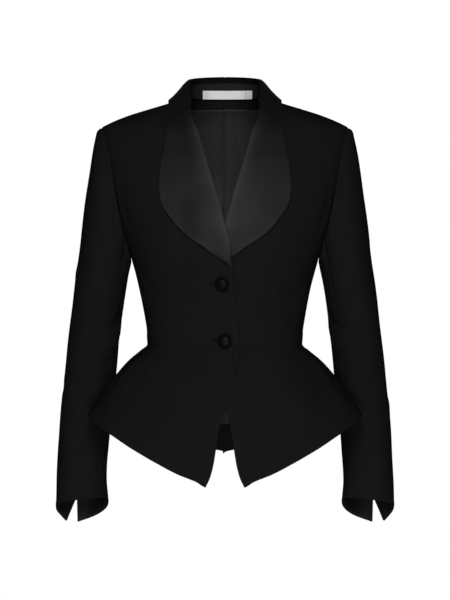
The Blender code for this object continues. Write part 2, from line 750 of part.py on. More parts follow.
def stand_grid(rows, start, columns):
    """Points and normals of the stand's surface, right round, from under the roll line to the neck seam."""
    share = np.linspace(0, 1, rows)
    along = np.linspace(start, 6, columns)
    roll = neck_curve(NECK_COLUMNS[1:4], along)
    low_x = roll[:, 0] * STAND_LEAN
    low_y = roll[:, 1] - STAND_FORWARD
    rise = np.clip((6 - along) / 4, 0, 1) ** 2
    low_z = NECK_BACK + (NECK_SIDE - NECK_BACK) * rise + LAYER_GAP
    low = np.stack([low_x, low_y, np.minimum(low_z, roll[:, 2] - STAND_LEAST)], axis=-1)
    top = roll + unit(low - roll) * STAND_BELOW_ROLL
    half = top[:, None] + (low - top)[:, None] * share[None, :, None]
    ring = np.concatenate([mirror(half[:-1], -1), half[::-1]])
    ring[columns - 1, :, 0] = 0.0
    normal = grid_normals(ring)
    middle = rows // 2
    if np.sum(normal[:, middle, :2] * (ring[:, middle, :2] - STAND_CENTRE)) < 0:
        normal = -normal
    return ring, normal


def collar_stand():
    """The stand that shows inside the neck, in one piece round the back."""
    ring, normal = stand_grid(5, STAND_START, 14)
    face = ring - normal * STAND_GAP
    wall("collar_stand", face, face - normal * SATIN_WALL, "crepe")


def stand_strip(name, span):
    """A strip of tape on the inner face of the stand."""
    ring, normal = stand_grid(STRIP_LEVELS, STRIP_START, 40)
    face = ring - normal * (SATIN_WALL + 2 * STAND_GAP)
    count = max(3, round((span[1] - span[0]) / STRIP_STEP) + 1)
    places = np.linspace(span[0], span[1], count)
    levels = np.linspace(LABEL_HEIGHTS[1], LABEL_HEIGHTS[0], 3)
    grids = []
    for grid in (face, face - normal * TAPE_WALL):
        columns = [np.interp(places, grid[:, j, 0], grid[:, j, axis])
                   for j in range(STRIP_LEVELS) for axis in (1, 2)]
        columns = np.array(columns).reshape(STRIP_LEVELS, 2, count)
        made = np.empty((count, 3, 3))
        for i, x in enumerate(places):
            depth = np.interp(levels, columns[::-1, 1, i], columns[::-1, 0, i])
            made[i] = np.stack([np.full(3, x), depth, levels], axis=-1)
        grids.append(made)
    wall(name, grids[0], grids[1], "woven_tape")


def sleeve_point(around, height):
    """The sleeve's surface, by the angle round from its outer side over the front."""
    outer = table(SLEEVE, SLEEVE_COLUMNS, "outer", height)
    inner = table(SLEEVE, SLEEVE_COLUMNS, "inner", height)
    middle = table(SLEEVE, SLEEVE_COLUMNS, "middle_depth", height)
    half = table(SLEEVE, SLEEVE_COLUMNS, "half_depth", height)
    x = 0.5 * (outer + inner) + 0.5 * (outer - inner) * np.cos(around)
    return np.stack([x, middle - half * np.sin(around), np.broadcast_to(height, x.shape)], axis=-1)


def armhole_ring(around):
    """The armhole's points, the body's normals there, and the way from the edge into the body."""
    height = ARMHOLE_MIDDLE + ARMHOLE_HALF_HEIGHT * np.cos(around)
    front = np.sin(around) >= 0
    turned = np.where(front, armhole_around(height), armhole_around(height, True))
    point = torso_point(turned, height)
    normal = torso_normal(turned, height)
    ahead = ARMHOLE_MIDDLE + ARMHOLE_HALF_HEIGHT * np.cos(around + RING_STEP)
    front = np.sin(around + RING_STEP) >= 0
    next_turn = np.where(front, armhole_around(ahead), armhole_around(ahead, True))
    along = unit(torso_point(next_turn, ahead) - point)
    into = np.cross(normal, along)
    centre = np.array([ARMHOLE_ACROSS, 0.0, ARMHOLE_MIDDLE])
    facing = np.sum(into * (point - centre), axis=-1, keepdims=True)
    return point, normal, into * np.where(facing < 0, -1.0, 1.0)


def cuff_height(degrees):
    """The height of the cuff's edge."""
    return table(CUFF, CUFF_COLUMNS, "height", degrees)


def armhole_degrees():
    """The angles of the armhole's points, from the back princess seam over the top to the same seam."""
    turn = math.degrees(PRINCESS_TURN)
    upper = np.degrees(armhole_turns())
    lower = np.linspace(turn, 180, ARMHOLE_LOWER_STEPS + 1)[1:]
    front = np.concatenate([upper, lower])
    return np.concatenate([-upper[:0:-1], front, 360 - front[-2:ARMHOLE_UPPER_STEPS - 1:-1]])


def sleeve_grid(upper):
    """Points and normals of a sleeve piece, from the armhole to the cuff."""
    rows = np.array(SLEEVE_ROWS)[:, None]
    open_share = np.clip((rows - SLEEVE_ROWS[SLIT_ROW]) / (1 - SLEEVE_ROWS[SLIT_ROW]), 0, 1)
    ring_degrees = armhole_degrees()
    seam = 2 * ARMHOLE_UPPER_STEPS + ARMHOLE_LOWER_STEPS // 2
    if upper:
        ring_degrees = ring_degrees[:seam + 1]
        first = CUFF_SLIT + CUFF_SLIT_OPEN * open_share
        last = SLEEVE_FRONT_SEAM
    else:
        ring_degrees = ring_degrees[seam:]
        first = SLEEVE_FRONT_SEAM
        last = 360 + CUFF_SLIT - CUFF_SLIT_UNDER_OPEN * open_share
    lower = first + (last - first) * np.linspace(0, 1, len(ring_degrees))
    degrees = ring_degrees + (lower - ring_degrees) * ease(rows / SLEEVE_TURN_END)
    ring, body_normal, into = armhole_ring(np.radians(ring_degrees))
    closed = cuff_height(lower[0])
    closed = np.where(np.abs(lower[0] - CUFF_SLIT) < SAME_DEGREE, SLIT_POINT, closed)
    closed = np.where(np.abs(lower[0] - 360 - CUFF_SLIT) < SAME_DEGREE, SLIT_POINT, closed)
    low = closed + (cuff_height(lower[-1]) - closed) * open_share
    height = ring[:, 2] + (low - ring[:, 2]) * rows
    around = np.radians(degrees)
    point = sleeve_point(around, height)
    turn = np.radians(ring_degrees)
    reach = REACH_TOP + REACH_SIDE * np.sin(turn) ** 2 + REACH_UNDER * (1 - np.cos(turn)) / 2
    weight = np.exp(-(ring[:, 2] - height) / reach)[..., None]
    away = unit(body_normal - into)
    point = point + weight * (ring + away * SLEEVE_HEAD_GAP - point[0])
    normal = grid_normals(point)
    axis = sleeve_point(np.radians(np.array([0.0, 180.0])), height[MIDDLE_ROW, :2]).mean(axis=0)
    if np.sum(normal[MIDDLE_ROW, :, :2] * (point[MIDDLE_ROW, :, :2] - axis[:2])) < 0:
        normal = -normal
    crossing = np.minimum(np.sum(normal[0] * into, axis=-1, keepdims=True), 0)
    normal[0] = unit(normal[0] - crossing * into)
    return point, normal


def sleeves(side_name):
    """The upper and under sleeve, and the lining that shows inside the cuff."""
    side = SIDES[side_name]
    upper = sleeve_grid(True)
    under = sleeve_grid(False)
    match_edges(upper[1][:, -1], under[1][:, 0])
    match_edges(upper[1][:SLIT_ROW + 1, 0], under[1][:SLIT_ROW + 1, -1])
    for name, (point, normal) in (("upper", upper), ("under", under)):
        outer = set_back(point, ("inner", "outer"))
        inner = outer - normal * SHELL_WALL
        wall(f"sleeve_{name}_{side_name}", mirror(outer, side), mirror(inner, side), "crepe")
    point = np.concatenate([upper[0], under[0][:, 1:]], axis=1)[SLIT_ROW - 1:]
    normal = np.concatenate([upper[1], under[1][:, 1:]], axis=1)[SLIT_ROW - 1:]
    point[-1] += (point[-2] - point[-1]) * CUFF_LINING_BACK
    point = set_back(point, ("inner", "outer"))
    near = SHELL_WALL + CUFF_LINING_GAP
    face = point - normal * near
    back = point - normal * (near + LINING_WALL)
    wall(f"cuff_lining_{side_name}", mirror(face, side), mirror(back, side), "lining")


def match_edges(one, other):
    """Give two edges that meet at a seam the same normals."""
    shared = unit(one + other)
    one[:] = shared
    other[:] = shared


def buttons():
    """Two covered buttons on their shanks, turned the way that the front faces."""
    for name, (across, height) in BUTTONS.items():
        level = np.array([height])
        around = around_at(np.array([across]), level)
        out = torso_normal(around, level)[0]
        lift = lap_lift(np.array([-across]), level, SIDES["right"])[0]
        start = torso_point(around, level)[0] + out * (lift + LAYER_GAP)
        wide = unit(np.cross(out, np.array([0.0, 0.0, 1.0])))
        tall = np.cross(wide, out)
        shank_radius, shank = BUTTON_SHANK
        profile = [(shank_radius, 0.0), (shank_radius, shank)]
        profile += [(r * BUTTON_RADIUS, shank + h * BUTTON_RADIUS) for r, h in BUTTON_PROFILE]
        turn = np.linspace(0, 2 * math.pi, BUTTON_SIDES, endpoint=False)[:, None]
        rings = [start + out * rise + radius * (wide * np.cos(turn) + tall * np.sin(turn))
                 for radius, rise in profile]
        crown = start + out * (shank + BUTTON_CROWN * BUTTON_RADIUS)
        points = np.concatenate([start[None]] + rings + [crown[None]])
        faces = []
        for k in range(BUTTON_SIDES):
            after = (k + 1) % BUTTON_SIDES
            faces.append([0, 1 + k, 1 + after])
            for ring in range(len(profile) - 1):
                low = 1 + ring * BUTTON_SIDES
                high = low + BUTTON_SIDES
                faces.append([low + after, low + k, high + k, high + after])
            top = 1 + (len(profile) - 1) * BUTTON_SIDES
            faces.append([top + after, top + k, len(points) - 1])
        first = points[faces[0]]
        if np.dot(np.cross(first[1] - first[0], first[2] - first[0]), out) > 0:
            faces = [face[::-1] for face in faces]
        add_mesh(name, points, faces, "satin")


def main():
    """Build every piece."""
    clear_scene()
    for side_name in SIDES:
        fronts(side_name)
        side_panels(side_name, False)
        side_panels(side_name, True)
        backs(side_name)
        sleeves(side_name)
        shawl_collars(side_name)
    neck_facing()
    collar_stand()
    stand_strip("label", LABEL_SPAN)
    stand_strip("size_tab", TAB_SPAN)
    buttons()


main()
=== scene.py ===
"""Looks of a peplum jacket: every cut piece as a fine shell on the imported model's form.

Metres, +Z up. The front faces -Y and the wearer's left is +X. Each class holds the sizes of one part
of the jacket and builds its meshes from grids of points, worked out as whole arrays.
"""

from __future__ import annotations

import logging
import math
from dataclasses import dataclass
from enum import Enum
from typing import Callable, ClassVar, Sequence

import bpy
import numpy as np
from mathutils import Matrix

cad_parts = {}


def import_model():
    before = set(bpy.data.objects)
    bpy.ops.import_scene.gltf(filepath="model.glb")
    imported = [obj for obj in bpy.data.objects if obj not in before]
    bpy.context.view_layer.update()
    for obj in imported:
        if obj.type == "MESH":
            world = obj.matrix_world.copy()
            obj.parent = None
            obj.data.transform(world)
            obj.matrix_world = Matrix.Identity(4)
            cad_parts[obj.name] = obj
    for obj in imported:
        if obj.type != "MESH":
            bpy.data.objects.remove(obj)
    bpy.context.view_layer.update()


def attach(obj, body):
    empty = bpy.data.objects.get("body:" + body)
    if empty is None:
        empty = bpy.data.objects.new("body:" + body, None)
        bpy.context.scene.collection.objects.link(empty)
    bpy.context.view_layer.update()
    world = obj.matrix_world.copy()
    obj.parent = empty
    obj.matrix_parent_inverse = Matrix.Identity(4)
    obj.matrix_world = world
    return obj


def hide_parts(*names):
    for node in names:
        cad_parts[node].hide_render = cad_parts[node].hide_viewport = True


LOG = logging.getLogger("jacket")
ROOT = "root"
Grid = np.ndarray
# A colour, a flat sheet's width, length and area, and a place or three sizes.
Tone = Cut = Place = tuple[float, float, float]
Pair = tuple[float, float]


class Side(Enum):
    """A side of the jacket, as its wearer has it."""

    LEFT = 1
    RIGHT = -1

    @property
    def label(self) -> str:
        """The word that ends the names of this side's pieces."""
        return self.name.lower()

    def place(self, points: Grid) -> Grid:
        """Bring points of the left side to this side.

        Args:
            points: points of the left side.

        Returns:
            The same points, mirrored for the right side.
        """
        return points * np.array([self.value, 1.0, 1.0])


class EdgeKind(Enum):
    """What happens to the cloth at one edge of a cut piece."""

    SEAM = "sewn to its neighbour, so it dips"
    FOLD = "turned back, so it is round and a little thicker"
    PLAIN = "left as it is"


SEAM, FOLD, PLAIN = EdgeKind
# Each edge of a grid: the axis that runs away from it, and whether it is the last row or column.
EDGES: dict[str, tuple[int, bool]] = {"inner": (1, False), "outer": (1, True),
                                      "top": (0, False), "bottom": (0, True)}


def curve(xs: Sequence[float], ys: Sequence[float], at: Grid) -> Grid:
    """A smooth curve through points that never overshoots them.

    Each stretch is a cubic whose slopes at its ends are harmonic means of the neighbouring slopes.

    Args:
        xs: where the points are.
        ys: their values.
        at: where to read the curve.

    Returns:
        The curve's values.
    """
    order = np.argsort(xs)
    xs = np.asarray(xs, float)[order]
    ys = np.asarray(ys, float)[order]
    step = np.diff(xs)
    slope = np.diff(ys) / step
    tangent = np.zeros(len(xs))
    tangent[0], tangent[-1] = slope[0], slope[-1]
    before = 2 * step[1:] + step[:-1]
    after = step[1:] + 2 * step[:-1]
    rising = slope[:-1] * slope[1:] > 0
    safe = np.where(rising, slope[:-1], 1.0), np.where(rising, slope[1:], 1.0)
    tangent[1:-1] = np.where(rising, (before + after) / (before / safe[0] + after / safe[1]), 0.0)
    at = np.clip(at, xs[0], xs[-1])
    k = np.clip(np.searchsorted(xs, at, side="right") - 1, 0, len(step) - 1)
    t = (at - xs[k]) / step[k]
    rise = (1 - t) ** 2 * ((1 + 2 * t) * ys[k] + t * step[k] * tangent[k])
    return rise + t**2 * ((3 - 2 * t) * ys[k + 1] - (1 - t) * step[k] * tangent[k + 1])


@dataclass(frozen=True)
class Table:
    """Rows of numbers under named columns, read smoothly by the first column."""

    columns: tuple[str, ...]
    rows: tuple[tuple[float, ...], ...]

    def read(self, name: str, at: Grid) -> Grid:
        """Read one column.

        Args:
            name: the column.
            at: values of the first column.

        Returns:
            The column's values there.
        """
        grid = np.array(self.rows, float)
        return curve(grid[:, 0], grid[:, self.columns.index(name)], at)


def unit(vectors: Grid) -> Grid:
    """Vectors brought to length one."""
    return vectors / np.maximum(np.linalg.norm(vectors, axis=-1, keepdims=True), 1e-12)


def ease(share: Grid) -> Grid:
    """A soft step from 0 to 1, as 3t^2 - 2t^3."""
    share = np.clip(share, 0, 1)
    return share * share * (3 - 2 * share)


def bell(at: Grid, middle: float, width: float) -> Grid:
    """A smooth bump of height one, as exp(-((at - middle) / width)^2)."""
    return np.exp(-(((at - middle) / width) ** 2))


def even(count: int) -> Grid:
    """Evenly spaced steps up to 1."""
    return np.arange(1, count + 1) / count


def grid_normals(points: Grid) -> Grid:
    """Normals of a grid of points, from its own rows and columns."""
    return unit(np.cross(np.gradient(points, axis=0), np.gradient(points, axis=1)))


def stretches(*parts: tuple[float, float, int]) -> Grid:
    """Rising values in joined stretches, each given by its start, its end and its count of points."""
    spans = [np.linspace(*part) for part in parts]
    return np.concatenate([spans[0]] + [span[1:] for span in spans[1:]])


def gathered_ends(count: int, near: float = 0.02) -> Grid:
    """Shares from 0 to 1 that lie closer at both ends.

    Args:
        count: how many evenly spaced shares lie between the ends.
        near: how much of the width each end's closer shares take.

    Returns:
        The shares.
    """
    end = near * np.array([0.0, 0.16, 0.36, 0.64])
    return np.concatenate([end, np.linspace(near, 1 - near, count), 1 - end[::-1]])


def spread_along(points: Grid, axis: int) -> Grid:
    """Distances along the rows (axis 1) or columns (axis 0) of a grid, from its first points.

    Args:
        points: the grid of points.
        axis: the axis to go along.

    Returns:
        The distances.
    """
    length = np.linalg.norm(np.diff(points, axis=axis), axis=-1)
    start = np.zeros_like(np.take(length, [0], axis=axis))
    return np.concatenate([start, np.cumsum(length, axis=axis)], axis=axis)


class Shader:
    """A material's node tree, built a node at a time."""

    def __init__(self, name: str) -> None:
        """Start a material with an empty surface.

        Args:
            name: the material's name.
        """
        self.material = bpy.data.materials.new(name)
        self.material.use_nodes = True
        self.tree = self.material.node_tree
        self.surface = self.tree.nodes["Principled BSDF"]

    def feed(self, socket: bpy.types.NodeSocket, value: object) -> None:
        """Join another socket to a socket, or give it a number or colour.

        Args:
            socket: the socket to feed.
            value: another socket, a number or a colour.
        """
        if isinstance(value, bpy.types.NodeSocket):
            self.tree.links.new(value, socket)
        else:
            socket.default_value = value

    def set(self, **values: object) -> None:
        """Feed the surface's own sockets, with spaces in their names written as underscores."""
        for name, value in values.items():
            self.feed(self.surface.inputs[name.replace("_", " ")], value)

    def node(self, kind: str, **values: object) -> bpy.types.Node:
        """Add a node.

        Args:
            kind: the node's type name, without its ShaderNode start.
            values: settings of the node, or inputs by name with spaces written as underscores.

        Returns:
            The node.
        """
        node = self.tree.nodes.new("ShaderNode" + kind)
        for name, value in values.items():
            if hasattr(node, name):
                setattr(node, name, value)
            else:
                self.feed(node.inputs[name.replace("_", " ")], value)
        return node

    def maths(self, kind: str, first: object, second: object = 0.0) -> bpy.types.NodeSocket:
        """Work out one value from two, each a number or a socket.

        Args:
            kind: the node's operation.
            first: a number or socket.
            second: a number or socket.

        Returns:
            The socket with the result.
        """
        node = self.node("Math", operation=kind)
        self.feed(node.inputs[0], first)
        self.feed(node.inputs[1], second)
        return node.outputs[0]

    def product(self, first: object, second: object) -> bpy.types.NodeSocket:
        """Two values multiplied."""
        return self.maths("MULTIPLY", first, second)

    def total(self, first: object, second: object) -> bpy.types.NodeSocket:
        """Two values added."""
        return self.maths("ADD", first, second)

    def threads(self, across: bool, per_metre: float) -> bpy.types.NodeSocket:
        """The rise and fall of parallel threads, a sine of the piece's own cloth coordinates.

        Args:
            across: whether the threads lie side by side across the cloth.
            per_metre: how many there are in a metre.

        Returns:
            The socket, from -1 to 1.
        """
        where = self.node("UVMap", uv_map="cloth").outputs["UV"]
        split = self.node("SeparateXYZ", Vector=where)
        axis = split.outputs["X" if across else "Y"]
        return self.maths("SINE", self.product(axis, per_metre * 2 * math.pi))

    def weave(self, per_metre: Pair) -> bpy.types.NodeSocket:
        """Threads across times threads along, at so many a metre each way."""
        return self.product(self.threads(True, per_metre[0]), self.threads(False, per_metre[1]))

    def blotches(self, scale: float, detail: float = 3.0) -> bpy.types.NodeSocket:
        """Soft noise over the object, at so many blotches a metre."""
        where = self.node("TexCoord").outputs["Object"]
        return self.node("TexNoise", Vector=where, Scale=scale, Detail=detail).outputs[0]

    def grain(self, per_metre: float) -> bpy.types.NodeSocket:
        """Fine noise that follows the cloth, at so many grains a metre."""
        where = self.node("UVMap", uv_map="cloth").outputs["UV"]
        return self.node("TexNoise", Vector=where, Scale=per_metre, Detail=2.0).outputs[0]

    def edge(self) -> bpy.types.NodeSocket:
        """Each point's share of painted sheen, highlight and shade, as its mesh keeps it."""
        return self.node("Attribute", attribute_name="edge").outputs["Fac"]

    def ramp(self, value: bpy.types.NodeSocket, low: float, high: float) -> bpy.types.NodeSocket:
        """Bring a value between 0 and 1 to between low and high."""
        return self.node("MapRange", Value=value, To_Min=low, To_Max=high).outputs[0]

    def mix(self, share: bpy.types.NodeSocket, first: object, second: Tone) -> None:
        """Colour the surface between two tones by a share from 0 to 1.

        Args:
            share: how much of the second tone there is.
            first: a tone, or the socket that it comes from.
            second: the other tone.
        """
        node = self.node("Mix", data_type="RGBA", Factor=share)
        self.feed(node.inputs["A"], first if isinstance(first, bpy.types.NodeSocket) else (*first, 1.0))
        self.feed(node.inputs["B"], (*second, 1.0))
        self.set(Base_Color=node.outputs["Result"])

    def over(self, share: bpy.types.NodeSocket, tone: Tone) -> None:
        """Bring the surface's colour towards a tone by a share from 0 to 1."""
        self.mix(share, self.surface.inputs["Base Color"].links[0].from_socket, tone)

    def raise_by(self, height: bpy.types.NodeSocket, depth: float, strength: float) -> None:
        """Give the surface relief of a real depth, in metres."""
        bump = self.node("Bump", Height=height, Distance=depth, Strength=strength)
        self.set(Normal=bump.outputs["Normal"])


@dataclass(frozen=True)
class Crepe:
    """Matte black crepe: a pebbled surface of hard-twisted threads, with a little painted sheen that lightens
    its colour at turned edges, where its roughness also drops.

    Pebbles, threads and clouds are counted in a metre. Relief is a depth in metres and a strength.
    """

    low: Tone = (0.0085, 0.0085, 0.0090)
    high: Tone = (0.0131, 0.0130, 0.0136)
    pebbles: float = 1500.0
    threads: Pair = (900.0, 760.0)
    rib_share: float = 0.16
    relief: Pair = (0.00016, 0.45)
    clouds: float = 9.0
    cloud_shares: Pair = (0.55, 0.45)
    painted_edge_light_share: float = 0.5
    roughness: Pair = (0.86, 0.78)
    specular: float = 0.01
    name: str = "crepe"
    slot: str = "crepe"

    def material(self) -> bpy.types.Material:
        """Make the material.

        Returns:
            The material.
        """
        shader = Shader(self.name)
        shader.set(Specular_IOR_Level=self.specular)
        pebbles = shader.grain(self.pebbles)
        rib = shader.weave(self.threads)
        shader.raise_by(shader.total(pebbles, shader.product(rib, self.rib_share)), *self.relief)
        soft, fine = self.cloud_shares
        clouds = shader.product(shader.blotches(self.clouds), soft)
        cloud = shader.total(clouds, shader.product(pebbles, fine))
        painted_edge_light = shader.edge()
        # Painted light: the edge share lifts the colour at turned edges as painted sheen and, on the collar
        # stand, holds it down as painted shade. It also lowers the roughness at turned edges.
        shader.mix(shader.total(cloud, shader.product(painted_edge_light, self.painted_edge_light_share)), self.low, self.high)
        shader.set(Roughness=shader.ramp(painted_edge_light, *self.roughness))
        return shader.material


@dataclass(frozen=True)
class Satin:
    """Black satin: long smooth threads that lie close, with a painted highlight along turned and rolled
    edges, where its colour goes towards the rolled tone.

    Threads, grains, puckers, clouds and patches are counted in a metre. Relief is a depth in metres and
    a strength, and sheen a weight and a roughness. Patches take the roughness down and up by the spread.
    """

    low: Tone = (0.0026, 0.0026, 0.0028)
    high: Tone = (0.0040, 0.0040, 0.0043)
    # The colour of the painted highlight along turned and rolled edges.
    rolled: Tone = (0.0330, 0.0330, 0.0340)
    roughness: float = 0.57
    spread: Pair = (0.05, 0.06)
    patches: float = 22.0
    specular: float = 0.25
    sheen: Pair = (0.02, 0.30)
    threads: float = 1900.0
    thread_share: float = 0.30
    grains: float = 700.0
    puckers: float = 38.0
    pucker_share: float = 1.6
    relief: Pair = (0.00010, 0.30)
    clouds: float = 14.0
    name: str = "satin"
    slot: str = "satin"

    def material(self) -> bpy.types.Material:
        """Make the material.

        Returns:
            The material.
        """
        shader = Shader(self.name)
        weight, sheen_roughness = self.sheen
        shader.set(Sheen_Weight=weight, Sheen_Roughness=sheen_roughness, Specular_IOR_Level=self.specular)
        threads = shader.product(shader.threads(True, self.threads), self.thread_share)
        fine = shader.total(threads, shader.grain(self.grains))
        soft = shader.product(shader.blotches(self.puckers, 2.0), self.pucker_share)
        shader.raise_by(shader.total(fine, soft), *self.relief)
        shader.mix(shader.blotches(self.clouds), self.low, self.high)
        # Painted highlight: the mesh's edge share brings the colour towards the rolled tone.
        shader.over(shader.edge(), self.rolled)
        down, up = self.spread
        patches = shader.blotches(self.patches)
        shader.set(Roughness=shader.ramp(patches, self.roughness - down, self.roughness + up))
        return shader.material


@dataclass(frozen=True)
class WovenTape:
    """White woven tape with a dense weave, bare of any mark. Threads, slubs and clouds are in a metre."""

    low: Tone = (0.90, 0.89, 0.87)
    high: Tone = (0.97, 0.96, 0.94)
    threads: Pair = (1400.0, 1700.0)
    slubs: float = 900.0
    relief: Pair = (0.00012, 0.5)
    weave_share: float = 0.3
    clouds: float = 120.0
    grains: float = 1200.0
    roughness: Pair = (0.62, 0.78)
    slot: str = "woven_tape"

    def material(self) -> bpy.types.Material:
        """Make the material.

        Returns:
            The material.
        """
        shader = Shader("woven_tape")
        shader.set(Sheen_Weight=0.10, Specular_IOR_Level=0.3)
        weave = shader.weave(self.threads)
        shader.raise_by(shader.total(weave, shader.grain(self.slubs)), *self.relief)
        cloud = shader.total(shader.product(weave, self.weave_share), shader.blotches(self.clouds))
        shader.mix(cloud, self.low, self.high)
        shader.set(Roughness=shader.ramp(shader.grain(self.grains), *self.roughness))
        return shader.material


@dataclass(frozen=True)
class Thread:
    """Black silk twist, with the twist's slant along each stitch. Plies and clouds are in a metre."""

    low: Tone = (0.005, 0.005, 0.0053)
    high: Tone = (0.009, 0.009, 0.00954)
    plies: Pair = (2600.0, 1500.0)
    relief: Pair = (0.00012, 0.6)
    clouds: float = 300.0
    roughness: Pair = (0.42, 0.60)
    slot: str = "satin"

    def material(self) -> bpy.types.Material:
        """Make the material.

        Returns:
            The material.
        """
        shader = Shader("silk_thread")
        shader.set(Specular_IOR_Level=0.12)
        across, along = self.plies
        twist = shader.total(shader.threads(True, across), shader.threads(False, along))
        shader.raise_by(twist, *self.relief)
        shader.mix(shader.ramp(twist, 0.2, 1.0), self.low, self.high)
        shader.set(Roughness=shader.ramp(shader.blotches(self.clouds), *self.roughness))
        return shader.material


Finish = Crepe | Satin | WovenTape | Thread


class Wardrobe:
    """Keeps one material of each finish, so that pieces of one cloth share it."""

    def __init__(self) -> None:
        """Start with no material made."""
        self.made: dict[Finish, bpy.types.Material] = {}

    def of(self, finish: Finish) -> bpy.types.Material:
        """The material of a finish, made at its first use.

        Args:
            finish: the finish.

        Returns:
            The material.
        """
        if finish not in self.made:
            self.made[finish] = finish.material()
        return self.made[finish]


WARDROBE = Wardrobe()
CREPE = Crepe()
SATIN = Satin()
FACING_CREPE = Crepe(low=(0.0100, 0.0100, 0.0105), high=(0.0146, 0.0146, 0.0152), name="facing_crepe")
# A lighter crepe for the collar stand; its low tone serves as the painted shadow under the collar's roll.
NECK_CREPE = Crepe(low=(0.0060, 0.0060, 0.0063), high=(0.0310, 0.0310, 0.0318), name="neck_crepe")
BUTTON_SATIN = Satin(low=(0.0022, 0.0022, 0.0024), high=(0.0034, 0.0034, 0.0036), roughness=0.42,
                     specular=0.07, name="button_satin")
LINING = Satin(low=(0.0120, 0.0120, 0.0126), high=(0.0215, 0.0215, 0.0225), roughness=0.52,
               specular=0.28, name="lining_satin", slot="lining")
# A darker copy of the lining satin: painted shade inside the cuffs.
SHADED_CUFF_SATIN = Satin(low=(0.0062, 0.0062, 0.0066), high=(0.0095, 0.0095, 0.0100), roughness=0.58,
                   specular=0.12, name="cuff_satin", slot="lining")
TAPE = WovenTape()
THREAD = Thread()


def build_object(name: str, points: Grid, faces: Sequence[Grid], uv: Grid, edge: Grid,
                 finish: Finish) -> bpy.types.Object:
    """Make an object from arrays of points and faces.

    Args:
        name: the object's name.
        points: the points, one a row.
        faces: arrays of faces of one number of corners each, as point numbers.
        uv: each point's place on the flat cloth, in metres.
        edge: each point's share of painted sheen, highlight and shade, from 0 to 1.
        finish: what it is made of.

    Returns:
        The object, at the origin, with its faces outwards.
    """
    centred = points - points.mean(axis=0)
    volume = sum(np.sum(centred[part[:, 0]] * np.cross(centred[part[:, k]], centred[part[:, k + 1]]))
                 for part in faces for k in range(1, part.shape[1] - 1))
    if volume < 0:
        faces = [part[:, ::-1] for part in faces]
    corners = np.concatenate([part.ravel() for part in faces]).astype(np.int32)
    counts = np.concatenate([np.full(len(part), part.shape[1]) for part in faces])
    starts = np.concatenate([[0], np.cumsum(counts)[:-1]]).astype(np.int32)
    mesh = bpy.data.meshes.new(name)
    mesh.vertices.add(len(points))
    mesh.vertices.foreach_set("co", points.astype(np.float32).ravel())
    mesh.loops.add(len(corners))
    mesh.loops.foreach_set("vertex_index", corners)
    mesh.polygons.add(len(starts))
    mesh.polygons.foreach_set("loop_start", starts)
    mesh.update(calc_edges=True)
    mesh.uv_layers.new(name="cloth").data.foreach_set("uv", uv[corners].astype(np.float32).ravel())
    mesh.attributes.new("edge", "FLOAT", "POINT").data.foreach_set("value", edge.astype(np.float32))
    mesh.shade_smooth()
    mesh.materials.append(WARDROBE.of(finish))
    piece = bpy.data.objects.new(name, mesh)
    bpy.context.scene.collection.objects.link(piece)
    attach(piece, ROOT)
    return piece


